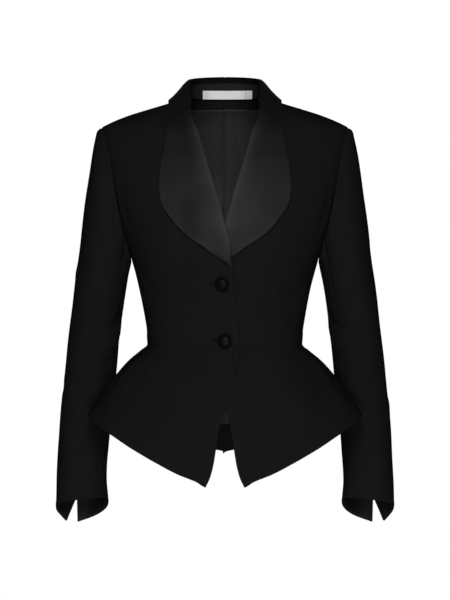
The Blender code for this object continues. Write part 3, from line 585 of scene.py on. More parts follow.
@dataclass
class Cloth:
    """One layer of cloth: a grid of points on its outer face, and how it is made up.

    Its edges are listed in the order of EDGES. Its cut is the flat sheet's width, length and area.
    """

    node: str
    points: Grid
    normals: Grid
    finish: Finish
    edges: tuple[EdgeKind, ...]
    cut: Cut
    side: Side = Side.LEFT
    thickness: float = 0.0012
    seam_dip: float = 0.0003
    seam_width: float = 0.0022
    fold_rise: float = 0.00035
    fold_width: float = 0.0030
    # How much painted sheen a turned edge's colour takes, and how fast it falls off.
    painted_edge_light: float = 0.24
    painted_edge_light_width: float = 0.004
    rim_inset: float = 0.24
    rim_bulge: float = 0.30
    back: Grid | None = None
    flaps: tuple[str, ...] = ()
    flap_rows: int | None = None
    flap_thickness: float = 0.0004
    # A grid of painted highlight and shade shares, given in place of the edges' own.
    shade: Grid | None = None
    kind: str = "cloth"

    def distance(self, edge: str) -> Grid:
        """How far each point is from one edge, along its own row or column.

        Args:
            edge: the edge's name.

        Returns:
            The distances, in metres.
        """
        axis, last = EDGES[edge]
        length = spread_along(self.points, axis)
        return np.take(length, [-1], axis=axis) - length if last else length

    def edged(self) -> tuple[Grid, Grid]:
        """The outer face with its seams dipped and its folds rounded, and each point's share of painted sheen
        at its turned edges.

        A seam sinks by seam_dip * exp(-(d / width)^2), and a fold rises by fold_rise * exp(-((d - w) / w)^2).

        Returns:
            The points and the shares.
        """
        move, share = np.zeros((2, *self.points.shape[:2]))
        for edge, kind in zip(EDGES, self.edges):
            d = self.distance(edge)
            if kind is SEAM:
                move -= self.seam_dip * bell(d, 0.0, self.seam_width)
            elif kind is FOLD:
                move += self.fold_rise * bell(d, self.fold_width, self.fold_width)
                # Turned edges take a share of painted sheen.
                share = np.maximum(share, self.painted_edge_light * np.exp(-d / self.painted_edge_light_width))
        # A given shade grid of painted highlight and shade takes the place of the edges' share.
        share = share if self.shade is None else self.shade
        return self.points + self.normals * move[..., None], share

    def with_flaps(self, outer: Grid, share: Grid) -> tuple[Grid, Grid, Grid, Grid]:
        """Let the cloth run on behind its neighbours at some seams, as a seam allowance does.

        Args:
            outer: the outer face.
            share: each point's share of painted sheen, highlight and shade.

        Returns:
            The wider face, its normals, its shares and its thicknesses.
        """
        grids = outer, self.normals, share, np.full(share.shape, self.thickness)
        steps = ((0.0003, 0.6 * self.thickness), (0.0012, self.thickness + 0.0002),
                 (0.0045, self.thickness + 0.0003))
        for edge in self.flaps:
            axis, last = EDGES[edge]
            rim, normal, own, thick = (np.take(grid, [-1 if last else 0], axis=axis) for grid in grids)
            way = unit(rim - np.take(grids[0], [-2 if last else 1], axis=axis))
            reach = np.ones(rim.shape[:2])[..., None]
            if self.flap_rows is not None and axis == 1:
                reach[self.flap_rows:] = 0.0
            wider = [rim + (way * beyond - normal * depth) * reach + way * 0.00002 * (k + 1)
                     for k, (beyond, depth) in enumerate(steps)]
            added = wider, [normal] * 3, [own] * 3, [np.full(thick.shape, self.flap_thickness)] * 3
            grids = [np.concatenate([grid, *more] if last else [*more[::-1], grid], axis=axis)
                     for grid, more in zip(grids, added)]
        return tuple(grids)

    def build(self) -> None:
        outer, normals, share, thickness = self.with_flaps(*self.edged())
        rows, columns = outer.shape[:2]
        count = rows * columns
        index = np.arange(count).reshape(rows, columns)
        ring = np.concatenate([index[0, :-1], index[:-1, -1], index[-1, :0:-1], index[:0:-1, 0]])
        inside = np.concatenate([index[1, :-1], index[:-1, -2], index[-2, :0:-1], index[:0:-1, 1]])
        flat = np.stack([spread_along(outer, 1), spread_along(outer, 0)], -1).reshape(-1, 2)
        back = outer - normals * thickness[..., None] if self.back is None else self.back.copy()
        face, back = outer.reshape(-1, 3), back.reshape(-1, 3)
        through = back[ring] - face[ring]
        thick = np.linalg.norm(through, axis=-1, keepdims=True)
        outward = unit(face[ring] - face[inside])
        rim = face[ring] + 0.5 * through + outward * self.rim_bulge * thick
        face[ring] += through * self.rim_inset
        back[ring] -= through * self.rim_inset
        quads = np.stack([index[:-1, :-1], index[:-1, 1:], index[1:, 1:], index[1:, :-1]], -1).reshape(-1, 4)
        after = np.roll(ring, -1)
        middle = 2 * count + np.arange(len(ring))
        next_middle = np.roll(middle, -1)
        faces = np.concatenate([quads, quads[:, ::-1] + count,
                                np.stack([after, ring, middle, next_middle], -1),
                                np.stack([next_middle, middle, ring + count, after + count], -1)])
        share = share.ravel()
        flat, share = (np.concatenate([grid, grid, grid[ring]]) for grid in (flat, share))
        points = self.side.place(np.concatenate([face, back, rim]))
        piece = build_object(f"{self.node}_{self.kind}", points, [faces], flat, share, self.finish)
        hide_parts(self.node)
        width, length, area = self.cut
        LOG.info("%s: %d faces", piece.name, len(faces))


@dataclass(frozen=True)
class Fold:
    """A soft ridge or trough over the form, from one place to another, by degrees round and height.

    Its depth is negative for a trough. Across it the cloth moves by depth * exp(-(d / width)^2), and along
    it the fold fades out towards both ends.
    """

    start: Pair
    end: Pair
    width: float
    depth: float
    bow: ClassVar[float] = 0.18
    overrun: ClassVar[float] = 0.15
    fading: ClassVar[float] = 0.40

    def move(self, degrees: Grid, height: Grid, per_degree: float) -> Grid:
        """How far the fold, which bows a little between its ends, moves each point outwards.

        Args:
            degrees: the points' places round the form.
            height: their heights.
            per_degree: metres along the cloth for each degree.

        Returns:
            The movement, in metres.
        """
        turn = (degrees - self.start[0] + 180.0) % 360.0 - 180.0
        along = np.array([(self.end[0] - self.start[0]) * per_degree, self.end[1] - self.start[1]])
        length = np.linalg.norm(along)
        along = along / length
        across = turn * per_degree
        down = height - self.start[1]
        share = (across * along[0] + down * along[1]) / length
        off = across * along[1] - down * along[0]
        bend = off + self.bow * length * np.sin(math.pi * np.clip(share, 0, 1))
        fade = ease((share + self.overrun) / self.fading) * ease((1 + self.overrun - share) / self.fading)
        return self.depth * bell(bend, 0.0, self.width) * fade


@dataclass(frozen=True)
class BodyForm:
    """The surface that every body panel is read from: horizontal sections that are rounded rectangles.

    A point at angle a and height h has x = w sin(a)^(2/n) and y = -d cos(a)^(2/n), where half width w,
    depth d and squareness n come from the sections.
    """

    sections: ClassVar[Table] = Table(
        ("height", "half_width", "front_depth", "back_depth", "front_square", "back_square"), (
        (0.0120, 0.0520, 0.014, 0.060, 2.2, 2.2),
        (0.0085, 0.0600, 0.018, 0.064, 2.2, 2.2),
        (-0.0030, 0.0890, 0.036, 0.074, 2.2, 2.2),
        (-0.0112, 0.1159, 0.046, 0.080, 2.2, 2.2),
        (-0.0240, 0.1563, 0.058, 0.087, 2.2, 2.2),
        (-0.0368, 0.1866, 0.068, 0.092, 2.2, 2.2),
        (-0.0430, 0.1968, 0.073, 0.094, 2.2, 2.2),
        (-0.0700, 0.1990, 0.088, 0.100, 2.3, 2.3),
        (-0.1000, 0.1960, 0.102, 0.104, 2.3, 2.3),
        (-0.1550, 0.1835, 0.118, 0.108, 2.4, 2.3),
        (-0.2050, 0.1680, 0.126, 0.106, 2.4, 2.3),
        (-0.2560, 0.1490, 0.122, 0.099, 2.3, 2.2),
        (-0.2864, 0.1404, 0.115, 0.093, 2.2, 2.2),
        (-0.3200, 0.1330, 0.106, 0.088, 2.2, 2.2),
        (-0.3488, 0.1278, 0.099, 0.085, 2.2, 2.2),
        (-0.3696, 0.1250, 0.096, 0.084, 2.2, 2.2),
        (-0.3888, 0.1250, 0.096, 0.085, 2.2, 2.2),
        (-0.3984, 0.1345, 0.099, 0.089, 2.1, 2.0),
        (-0.4144, 0.1535, 0.104, 0.097, 2.0, 1.7),
        (-0.4370, 0.1740, 0.111, 0.107, 1.9, 1.5),
        (-0.4670, 0.1965, 0.119, 0.118, 1.9, 1.42),
        (-0.5020, 0.2195, 0.127, 0.130, 1.9, 1.4),
        (-0.5600, 0.2500, 0.137, 0.146, 1.9, 1.4),
        (-0.6200, 0.2760, 0.145, 0.160, 1.9, 1.4),
    ))
    hem: ClassVar[Table] = Table(("degrees", "height"), (
        (-10.0, -0.6168), (6.5, -0.6168), (10.9, -0.6070), (17.5, -0.5957), (25.7, -0.5790),
        (35.9, -0.5590), (52.0, -0.5320), (70.0, -0.5130), (82.0, -0.5045), (90.0, -0.5020),
        (110.0, -0.5150), (130.0, -0.5330), (150.0, -0.5480), (180.0, -0.5630),
    ))
    metres_per_degree: float = 0.0026
    ripple: float = 0.00035
    shared: tuple[Fold, ...] = (
        Fold((58.0, -0.352), (30.0, -0.372), 0.010, -0.0015),
        Fold((72.0, -0.372), (38.0, -0.386), 0.007, 0.0014),
        Fold((80.0, -0.395), (62.0, -0.470), 0.012, -0.0022),
        Fold((66.0, -0.400), (52.0, -0.520), 0.013, 0.0021),
        Fold((50.0, -0.405), (42.0, -0.500), 0.010, -0.0017),
        Fold((70.0, -0.268), (40.0, -0.312), 0.011, -0.0017),
        Fold((80.0, -0.300), (52.0, -0.335), 0.009, 0.0014),
        Fold((52.0, -0.110), (60.0, -0.215), 0.012, -0.0022),
        Fold((104.0, -0.352), (146.0, -0.376), 0.009, -0.0020),
        Fold((100.0, -0.376), (150.0, -0.392), 0.007, 0.0015),
        Fold((112.0, -0.398), (122.0, -0.500), 0.013, -0.0025),
        Fold((136.0, -0.402), (140.0, -0.520), 0.014, 0.0024),
        Fold((156.0, -0.405), (158.0, -0.530), 0.011, -0.0020),
        Fold((118.0, -0.120), (112.0, -0.235), 0.012, -0.0025),
        Fold((108.0, -0.275), (140.0, -0.318), 0.012, -0.0018),
        Fold((168.0, -0.060), (140.0, -0.085), 0.012, 0.0014),
    )
    left_only: tuple[Fold, ...] = (
        Fold((16.0, -0.318), (44.0, -0.338), 0.008, 0.0011),
        Fold((30.0, -0.425), (27.0, -0.560), 0.016, 0.0017),
        Fold((128.0, -0.330), (168.0, -0.344), 0.008, 0.0013),
    )
    right_only: tuple[Fold, ...] = (
        Fold((-14.0, -0.300), (-40.0, -0.326), 0.009, -0.0011),
        Fold((-34.0, -0.430), (-30.0, -0.550), 0.015, 0.0015),
        Fold((-132.0, -0.300), (-166.0, -0.322), 0.009, -0.0014),
    )

    def read(self, name: str, height: Grid) -> Grid:
        """Read a column of the sections."""
        return self.sections.read(name, height)

    def point(self, around: Grid, height: Grid) -> Grid:
        """Points of the surface.

        Args:
            around: angles from the centre front over the wearer's left side.
            height: heights.

        Returns:
            The points.
        """
        sine, cosine = np.sin(around), np.cos(around)
        front = cosine > 0
        square = np.where(front, self.read("front_square", height), self.read("back_square", height))
        depth = np.where(front, self.read("front_depth", height), self.read("back_depth", height))
        x = self.read("half_width", height) * np.sign(sine) * np.abs(sine) ** (2 / square)
        y = -depth * np.sign(cosine) * np.abs(cosine) ** (2 / square)
        return np.stack([x, y, np.broadcast_to(height, x.shape)], axis=-1)

    def normal(self, around: Grid, height: Grid) -> Grid:
        """Outward normals of the surface, from points close by.

        Args:
            around: angles from the centre front over the wearer's left side.
            height: heights.

        Returns:
            The normals.
        """
        turn, drop = 0.02, 0.0012
        along = self.point(around + turn, height) - self.point(around - turn, height)
        down = self.point(around, height - drop) - self.point(around, height + drop)
        normal = unit(np.cross(down, along))
        outward = self.point(around, height)[..., :2] * np.array([1.0, 1.3])
        facing = np.sum(normal[..., :2] * outward, axis=-1, keepdims=True)
        return normal * np.where(facing < 0, -1.0, 1.0)

    def around_at(self, x: Grid, height: Grid, back: bool = False) -> Grid:
        """The angle at which the surface is x from the centre line, in front or behind.

        Args:
            x: distances from the centre line.
            height: heights.
            back: whether it is behind.

        Returns:
            The angles.
        """
        square = self.read("back_square" if back else "front_square", height)
        share = np.clip(np.abs(x) / self.read("half_width", height), 0, 1)
        angle = np.arcsin(share ** (square / 2))
        angle = math.pi - angle if back else angle
        return np.where(np.asarray(x) < 0, -angle, angle)

    def hem_height(self, around: Grid) -> Grid:
        """The height of the hem at an angle."""
        return self.hem.read("height", np.degrees(around))

    def creases(self, around: Grid, height: Grid, side: Side) -> Grid:
        """How far the soft folds move each point outwards, on the left side or the mirrored right one.

        Args:
            around: angles from the centre front over the wearer's left side.
            height: heights.
            side: which side it is for.

        Returns:
            The movement, in metres.
        """
        degrees = np.degrees(around) * side.value
        move = np.zeros(degrees.shape)
        for fold in self.shared:
            move += fold.move(degrees * side.value, height, self.metres_per_degree)
        for fold in self.left_only + self.right_only:
            move += fold.move(degrees, height, self.metres_per_degree)
        slant = np.sin(9.0 * np.radians(degrees) + 40.0 * height)
        return move + self.ripple * slant * np.sin(31.0 * height + 1.3)


FORM = BodyForm()


@dataclass(frozen=True)
class Armhole:
    """The armhole: an upright ellipse, as seen from the side, with the sleeve's points on it."""

    top: float = -0.043
    under: float = -0.256
    across: float = 0.185
    front: float = 0.051
    back: float = 0.054
    princess_top: float = -0.140
    upper_steps: int = 22
    lower_steps: int = 24

    @property
    def middle(self) -> float:
        """The height of its middle."""
        return 0.5 * (self.top + self.under)

    @property
    def half(self) -> float:
        """Half its height."""
        return 0.5 * (self.top - self.under)

    @property
    def princess_turn(self) -> float:
        """How far round from the top the princess seam meets it."""
        return math.acos((self.princess_top - self.middle) / self.half)

    def around(self, height: Grid, back: bool = False) -> Grid:
        """The body's angle at the armhole's edge, and the side itself above and below it.

        Args:
            height: heights.
            back: whether it is the edge behind the arm.

        Returns:
            The angles.
        """
        share = np.clip((height - self.middle) / self.half, -1, 1)
        depth = (self.back if back else self.front) * np.sqrt(1 - share**2)
        square = FORM.read("back_square" if back else "front_square", height)
        full = FORM.read("back_depth" if back else "front_depth", height)
        off = np.arcsin(np.clip((depth / full) ** (square / 2), 0, 1))
        return math.pi / 2 + off if back else math.pi / 2 - off

    def turns(self) -> Grid:
        """Turns from the shoulder to the princess seam, closer together at the shoulder."""
        return self.princess_turn * np.linspace(0, 1, self.upper_steps + 1) ** 1.4

    def steps(self) -> Grid:
        """The spacing of panel rows that end on those turns."""
        return (1 - np.cos(self.turns()[1:])) / (1 - math.cos(self.princess_turn))

    def degrees(self) -> Grid:
        """The ring's points, from the back princess seam over the top and round to the same seam.

        Returns:
            The points' degrees from the top over the front.
        """
        upper = np.degrees(self.turns())
        lower = np.linspace(math.degrees(self.princess_turn), 180, self.lower_steps + 1)[1:]
        front = np.concatenate([upper, lower])
        return np.concatenate([-upper[:0:-1], front, 360 - front[-2:self.upper_steps - 1:-1]])

    def place(self, turn: Grid) -> tuple[Grid, Grid]:
        """The body's angle and the height at turns round the ring.

        Args:
            turn: angles round the ring, from the top over the front.

        Returns:
            The angles round the body and the heights.
        """
        height = self.middle + self.half * np.cos(turn)
        around = np.where(np.sin(turn) >= 0, self.around(height), self.around(height, True))
        return around, height

    def ring(self, turn: Grid) -> tuple[Grid, Grid, Grid]:
        """Points of the ring.

        Args:
            turn: angles round it, from the top over the front.

        Returns:
            The points, the body's normals there, and the way from the edge into the body.
        """
        around, height = self.place(turn)
        point = FORM.point(around, height)
        normal = FORM.normal(around, height)
        along = unit(FORM.point(*self.place(turn + 0.01)) - point)
        into = np.cross(normal, along)
        facing = np.sum(into * (point - np.array([self.across, 0.0, self.middle])), axis=-1, keepdims=True)
        return point, normal, into * np.where(facing < 0, -1.0, 1.0)


ARMHOLE = Armhole()


@dataclass(frozen=True)
class Princess:
    """The long shaped seams, front and back, that run from the armhole over the waist to the hem."""

    places: ClassVar[Table] = Table(("height", "front", "back"), (
        (-0.1650, 0.150, 0.152), (-0.1900, 0.118, 0.128), (-0.2200, 0.099, 0.106), (-0.2560, 0.091, 0.092),
        (-0.3200, 0.087, 0.080), (-0.3888, 0.085, 0.074), (-0.4500, 0.094, 0.080), (-0.5000, 0.106, 0.088),
        (-0.5500, 0.121, 0.098), (-0.6200, 0.139, 0.112),
    ))

    def around(self, height: Grid, back: bool = False) -> Grid:
        """The body's angle at the seam. Above its top it is the armhole's edge.

        Args:
            height: heights.
            back: whether it is the back's seam.

        Returns:
            The angles.
        """
        name = "back" if back else "front"
        start = np.array([ARMHOLE.princess_top])
        top = float(FORM.point(ARMHOLE.around(start, back), start)[0, 0])
        rows = Table(self.places.columns, ((ARMHOLE.princess_top, top, top),) + self.places.rows)
        below = FORM.around_at(rows.read(name, height), height, back)
        return np.where(height > ARMHOLE.princess_top, ARMHOLE.around(height, back), below)

    def across(self, height: Grid, back: bool = False) -> Grid:
        """How far the seam is from the centre line."""
        height = np.minimum(height, ARMHOLE.top)
        return FORM.point(self.around(height, back), height)[..., 0]


PRINCESS = Princess()
Bands = tuple[tuple[object, Grid], ...]


@dataclass(frozen=True)
class Panels:
    """The eight body panels with the back lining: how fine they are, how they end and how they are cut.

    The dips over the hem's stitches and the waist are given as depth and width. The lining's centre pleat
    and the jump over its hem are given as depth, place and width.
    """

    waist: float = -0.3888
    neck_side: float = 0.0085
    neck_back: float = 0.0016
    bust_rows: int = 40
    waist_rows: int = 42
    peplum_rows: int = 66
    wide_columns: int = 62
    side_columns: int = 34
    chest_drop: float = 0.050
    collar_fold: float = 0.0030
    lap_lift: float = 0.0028
    lap_over_lapel: float = 0.0058
    lining_top: float = -0.0115
    lining_bottom: float = -0.5170
    lining_gap: float = 0.0029
    hem_turn: float = 0.030
    neck_share: float = 4 / 9
    hem_guess: float = -0.56
    wall: float = 0.0014
    hem_dip: Pair = (0.00030, 0.0025)
    waist_dip: Pair = (0.0009, 0.0075)
    pleat: Place = (0.0011, -0.0045, 0.0016)
    jump: Place = (0.0012, 0.010, 0.004)
    lining_rows: int = 170
    calm_at_armhole: float = 0.022
    front_edge: ClassVar[Table] = Table(("height", "from_centre"), (
        (0.0120, 0.0560), (-0.0176, 0.0544), (-0.0480, 0.0432), (-0.0640, 0.0384), (-0.0896, 0.0309),
        (-0.1216, 0.0208), (-0.1528, 0.0112), (-0.1832, 0.0032), (-0.2360, -0.0106), (-0.2660, -0.0120),
        (-0.3024, -0.0144), (-0.3504, -0.0200), (-0.3984, -0.0232), (-0.4304, -0.0182), (-0.4544, -0.0104),
        (-0.4928, 0.0000), (-0.5168, 0.0080), (-0.5584, 0.0149), (-0.5776, 0.0179), (-0.6000, 0.0235),
        (-0.6168, 0.0312),
    ))
    cuts: ClassVar[dict[str, Cut]] = {
        "front": (0.225, 0.640, 0.0797),
        "side_front": (0.165, 0.445, 0.0455),
        "side_back": (0.165, 0.420, 0.0411),
        "back": (0.215, 0.590, 0.0772),
        "lining": (0.185, 0.520, 0.0630),
    }

    def levels(self, start: Grid, end: Grid, bands: Bands) -> tuple[Grid, Grid]:
        """Heights of a grid's rows from start to end, and how much of the top's spacing each row keeps.

        Args:
            start: the top row's heights.
            end: the bottom row's heights.
            bands: each band's lowest height and the spacing of its rows.

        Returns:
            The rows' heights and the shares.
        """
        levels = [start] + [level + 0 * start for level, _ in bands[:-1]] + [end]
        rows, fade = [start], [1.0]
        for k, (_, spacing) in enumerate(bands):
            for step in spacing:
                rows.append(levels[k] + (levels[k + 1] - levels[k]) * step)
                fade.append(max(1 - (k + step) / 2, 0.0) ** 1.5)
        return np.array(rows), np.array(fade)[:, None]

    def hem_end(self, angle: Callable[[Grid], Grid], across: Grid) -> Grid:
        """Where each column meets the hem, found by a few passes of angle and height in turn.

        Args:
            angle: gives the columns' angles at their heights.
            across: the columns' shares of the width.

        Returns:
            The heights.
        """
        end = np.full(across.shape, self.hem_guess)
        for _ in range(12):
            end = FORM.hem_height(angle(end))
        return end

    def lift(self, x: Grid, height: Grid, side: Side) -> Grid:
        """How far the right front stands off the left one, more where it lies over the other lapel.

        Args:
            x: distances from the centre line, on the front's own side.
            height: heights.
            side: which side it is for.

        Returns:
            The distances.
        """
        if side is Side.LEFT:
            return np.zeros(np.shape(x))
        over = ease((height + 0.285) / 0.030) * ease((-0.130 - height) / 0.045)
        full = self.lap_lift + (self.lap_over_lapel - self.lap_lift) * over
        return full * ease((0.075 - x) / 0.049)

    def front_x(self, height: Grid) -> Grid:
        """How far the turned edge of a front is from the centre line."""
        fold = self.collar_fold * ease((height + 0.275) / 0.02)
        return self.front_edge.read("from_centre", height) + fold

    def front_across(self, height: Grid, across: Grid) -> Grid:
        """How far the columns of a front are from the centre line, by their share of its width."""
        edge = self.front_x(height)
        return edge + (PRINCESS.across(height) - edge) * across

    def body_bands(self) -> Bands:
        """The bands of rows of a front or back, down to the seam's top, underarm, waist and hem."""
        return ((ARMHOLE.princess_top, ARMHOLE.steps()), (ARMHOLE.under, even(self.bust_rows)),
                (self.waist, even(self.waist_rows)), (None, even(self.peplum_rows)))

    def front_grid(self) -> tuple[Grid, Grid]:
        """Angles and heights of a front's grid, from the turned edge out to the armhole and the seam.

        Returns:
            The angles and the heights.
        """
        across = gathered_ends(self.wide_columns)
        start = self.neck_side + (ARMHOLE.top - self.neck_side) * across
        edge = self.front_x(start)
        top_x = np.where(across < 0.001, edge, FORM.read("half_width", start))
        top_x = edge + (np.maximum(top_x, edge) - edge) * ease(across / 0.12)
        end = self.hem_end(lambda h: FORM.around_at(self.front_across(h, across), h), across)
        height, fade = self.levels(start, end, self.body_bands())
        x = self.front_across(height, across) + fade * (top_x - self.front_across(start, across))
        return FORM.around_at(x, height), height

    def back_grid(self) -> tuple[Grid, Grid]:
        """Angles and heights of a back's grid, from the centre back out to the armhole and the seam.

        Returns:
            The angles and the heights.
        """
        across = gathered_ends(self.wide_columns)
        share = self.neck_share
        to_shoulder = np.minimum(across / share, 1)
        neck = self.neck_back + (self.neck_side - self.neck_back) * to_shoulder ** 2
        start = neck + (ARMHOLE.top - self.neck_side) * np.clip((across - share) / (1 - share), 0, 1)
        neck_x = float(FORM.read("half_width", np.array([self.neck_side]))[0])
        neck_x = neck_x * np.sin(0.5 * math.pi * to_shoulder)
        top_x = np.where(across <= share, neck_x, FORM.read("half_width", start))
        end = self.hem_end(lambda h: FORM.around_at(PRINCESS.across(h, True) * across, h, True), across)
        height, fade = self.levels(start, end, self.body_bands())
        x = PRINCESS.across(height, True) * across + fade * (top_x - PRINCESS.across(start, True) * across)
        return FORM.around_at(x, height, True), height

    def back_angles(self, around: Grid, height: Grid, levels: Grid) -> Grid:
        """Read the angles of a back's own columns at other heights."""
        return np.stack([np.interp(levels[:, j], height[::-1, j], around[::-1, j])
                         for j in range(levels.shape[1])], 1)

    def side_grid(self, back: bool) -> tuple[Grid, Grid]:
        """Angles and heights of a side panel's grid, from the princess seam to the side seam.

        Args:
            back: whether it is the side back.

        Returns:
            The angles and the heights.
        """
        across = gathered_ends(self.side_columns, 0.04)
        turn = ARMHOLE.princess_turn + (math.pi - ARMHOLE.princess_turn) * across
        start = ARMHOLE.middle + ARMHOLE.half * np.cos(turn)
        seam = PRINCESS.around(start, back)
        width = math.pi / 2 - seam
        safe = np.where(np.abs(width) < 1e-6, 1, width)
        share = np.clip((ARMHOLE.around(start, back) - seam) / safe, 0, 1)
        share[0], share[-1] = 0.0, 1.0
        end = self.hem_end(lambda h: PRINCESS.around(h, back) * (1 - across) + math.pi / 2 * across, across)
        chest = ARMHOLE.under - self.chest_drop * across
        bands = ((chest, even(self.bust_rows)), (self.waist, even(self.waist_rows)),
                 (None, even(self.peplum_rows)))
        height, fade = self.levels(start, end, bands)
        share = across + fade * (share - across)
        seam = PRINCESS.around(height, back)
        return seam + (math.pi / 2 - seam) * share, height

    def shell(self, around: Grid, height: Grid, side: Side) -> tuple[Grid, Grid]:
        """The outer face of a panel with its folds and its turned hem, and its normals.

        Args:
            around: angles from the centre front over the wearer's left side.
            height: heights.
            side: which side it is for.

        Returns:
            The points and the normals.
        """
        point = FORM.point(around, height)
        normal = FORM.normal(around, height)
        above = np.maximum(height - height[-1], 0)
        hem = -self.hem_dip[0] * bell(above, self.hem_turn, self.hem_dip[1])
        waist = -self.waist_dip[0] * bell(height, self.waist, self.waist_dip[1])
        ring = FORM.point(*ARMHOLE.place(np.linspace(0, 2 * math.pi, 160)))
        near = np.linalg.norm(point[:, :, None] - ring, axis=-1).min(axis=-1)
        move = (FORM.creases(around, height, side) + hem + waist) * ease(near / self.calm_at_armhole)
        move = move + self.lift(point[..., 0], height, side) * (np.cos(around) > 0)
        return point + normal * move[..., None], normal

    def build(self, side: Side) -> None:
        """Build the panels and the lining of one side. The left back alone has an allowance at the centre.

        Args:
            side: which side it is for.
        """
        body = (SEAM, SEAM, SEAM, FOLD)
        for name, grid, edges, flaps in (
                ("front", self.front_grid(), (FOLD, SEAM, SEAM, FOLD), ("outer", "top")),
                ("side_front", self.side_grid(False), body, ("outer", "top")),
                ("side_back", self.side_grid(True), body, ("top",)),
                ("back", self.back_grid(), body, ("outer", "inner") if side is Side.LEFT else ("outer",))):
            point, normal = self.shell(*grid, side)
            Cloth(f"{name}_{side.label}", point, normal, CREPE, edges, self.cuts[name], side, self.wall,
                  flaps=flaps).build()
        self.lining(side)

    def lining(self, side: Side) -> None:
        """Build the back lining of one side, looser than the shell, with an ease pleat at its centre.

        Points are read from the back's columns at levels between the facing and the lining's hem.

        Args:
            side: which side it is for.
        """
        around, height = self.back_grid()
        around, height = around[:, :-4], height[:, :-4]
        start = np.minimum(height[0] - 0.004, self.lining_top)
        levels = start + (self.lining_bottom - start) * np.linspace(0, 1, self.lining_rows)[:, None]
        angle = self.back_angles(around, height, levels)
        point, normal = FORM.point(angle, levels), FORM.normal(angle, levels)
        x = point[..., 0] * side.value
        wave = 0.0004 * np.sin(260.0 * x + 25.0 * levels) + 0.0005 * np.sin(95.0 * x - 34.0 * levels)
        pleat = self.pleat[0] * bell(x, *self.pleat[1:])
        jump = self.jump[0] * bell(levels - self.lining_bottom, *self.jump[1:])
        inside = self.lining_gap - np.minimum(wave, 0.0003) + pleat + jump
        face = point + normal * (FORM.creases(angle, levels, side) - inside)[..., None]
        Cloth(f"back_lining_{side.label}", face, -normal, LINING, (SEAM, PLAIN, SEAM, FOLD),
              self.cuts["lining"], side, 0.0005, seam_dip=0.0001,
              flaps=("inner",) if side is Side.LEFT else ()).build()


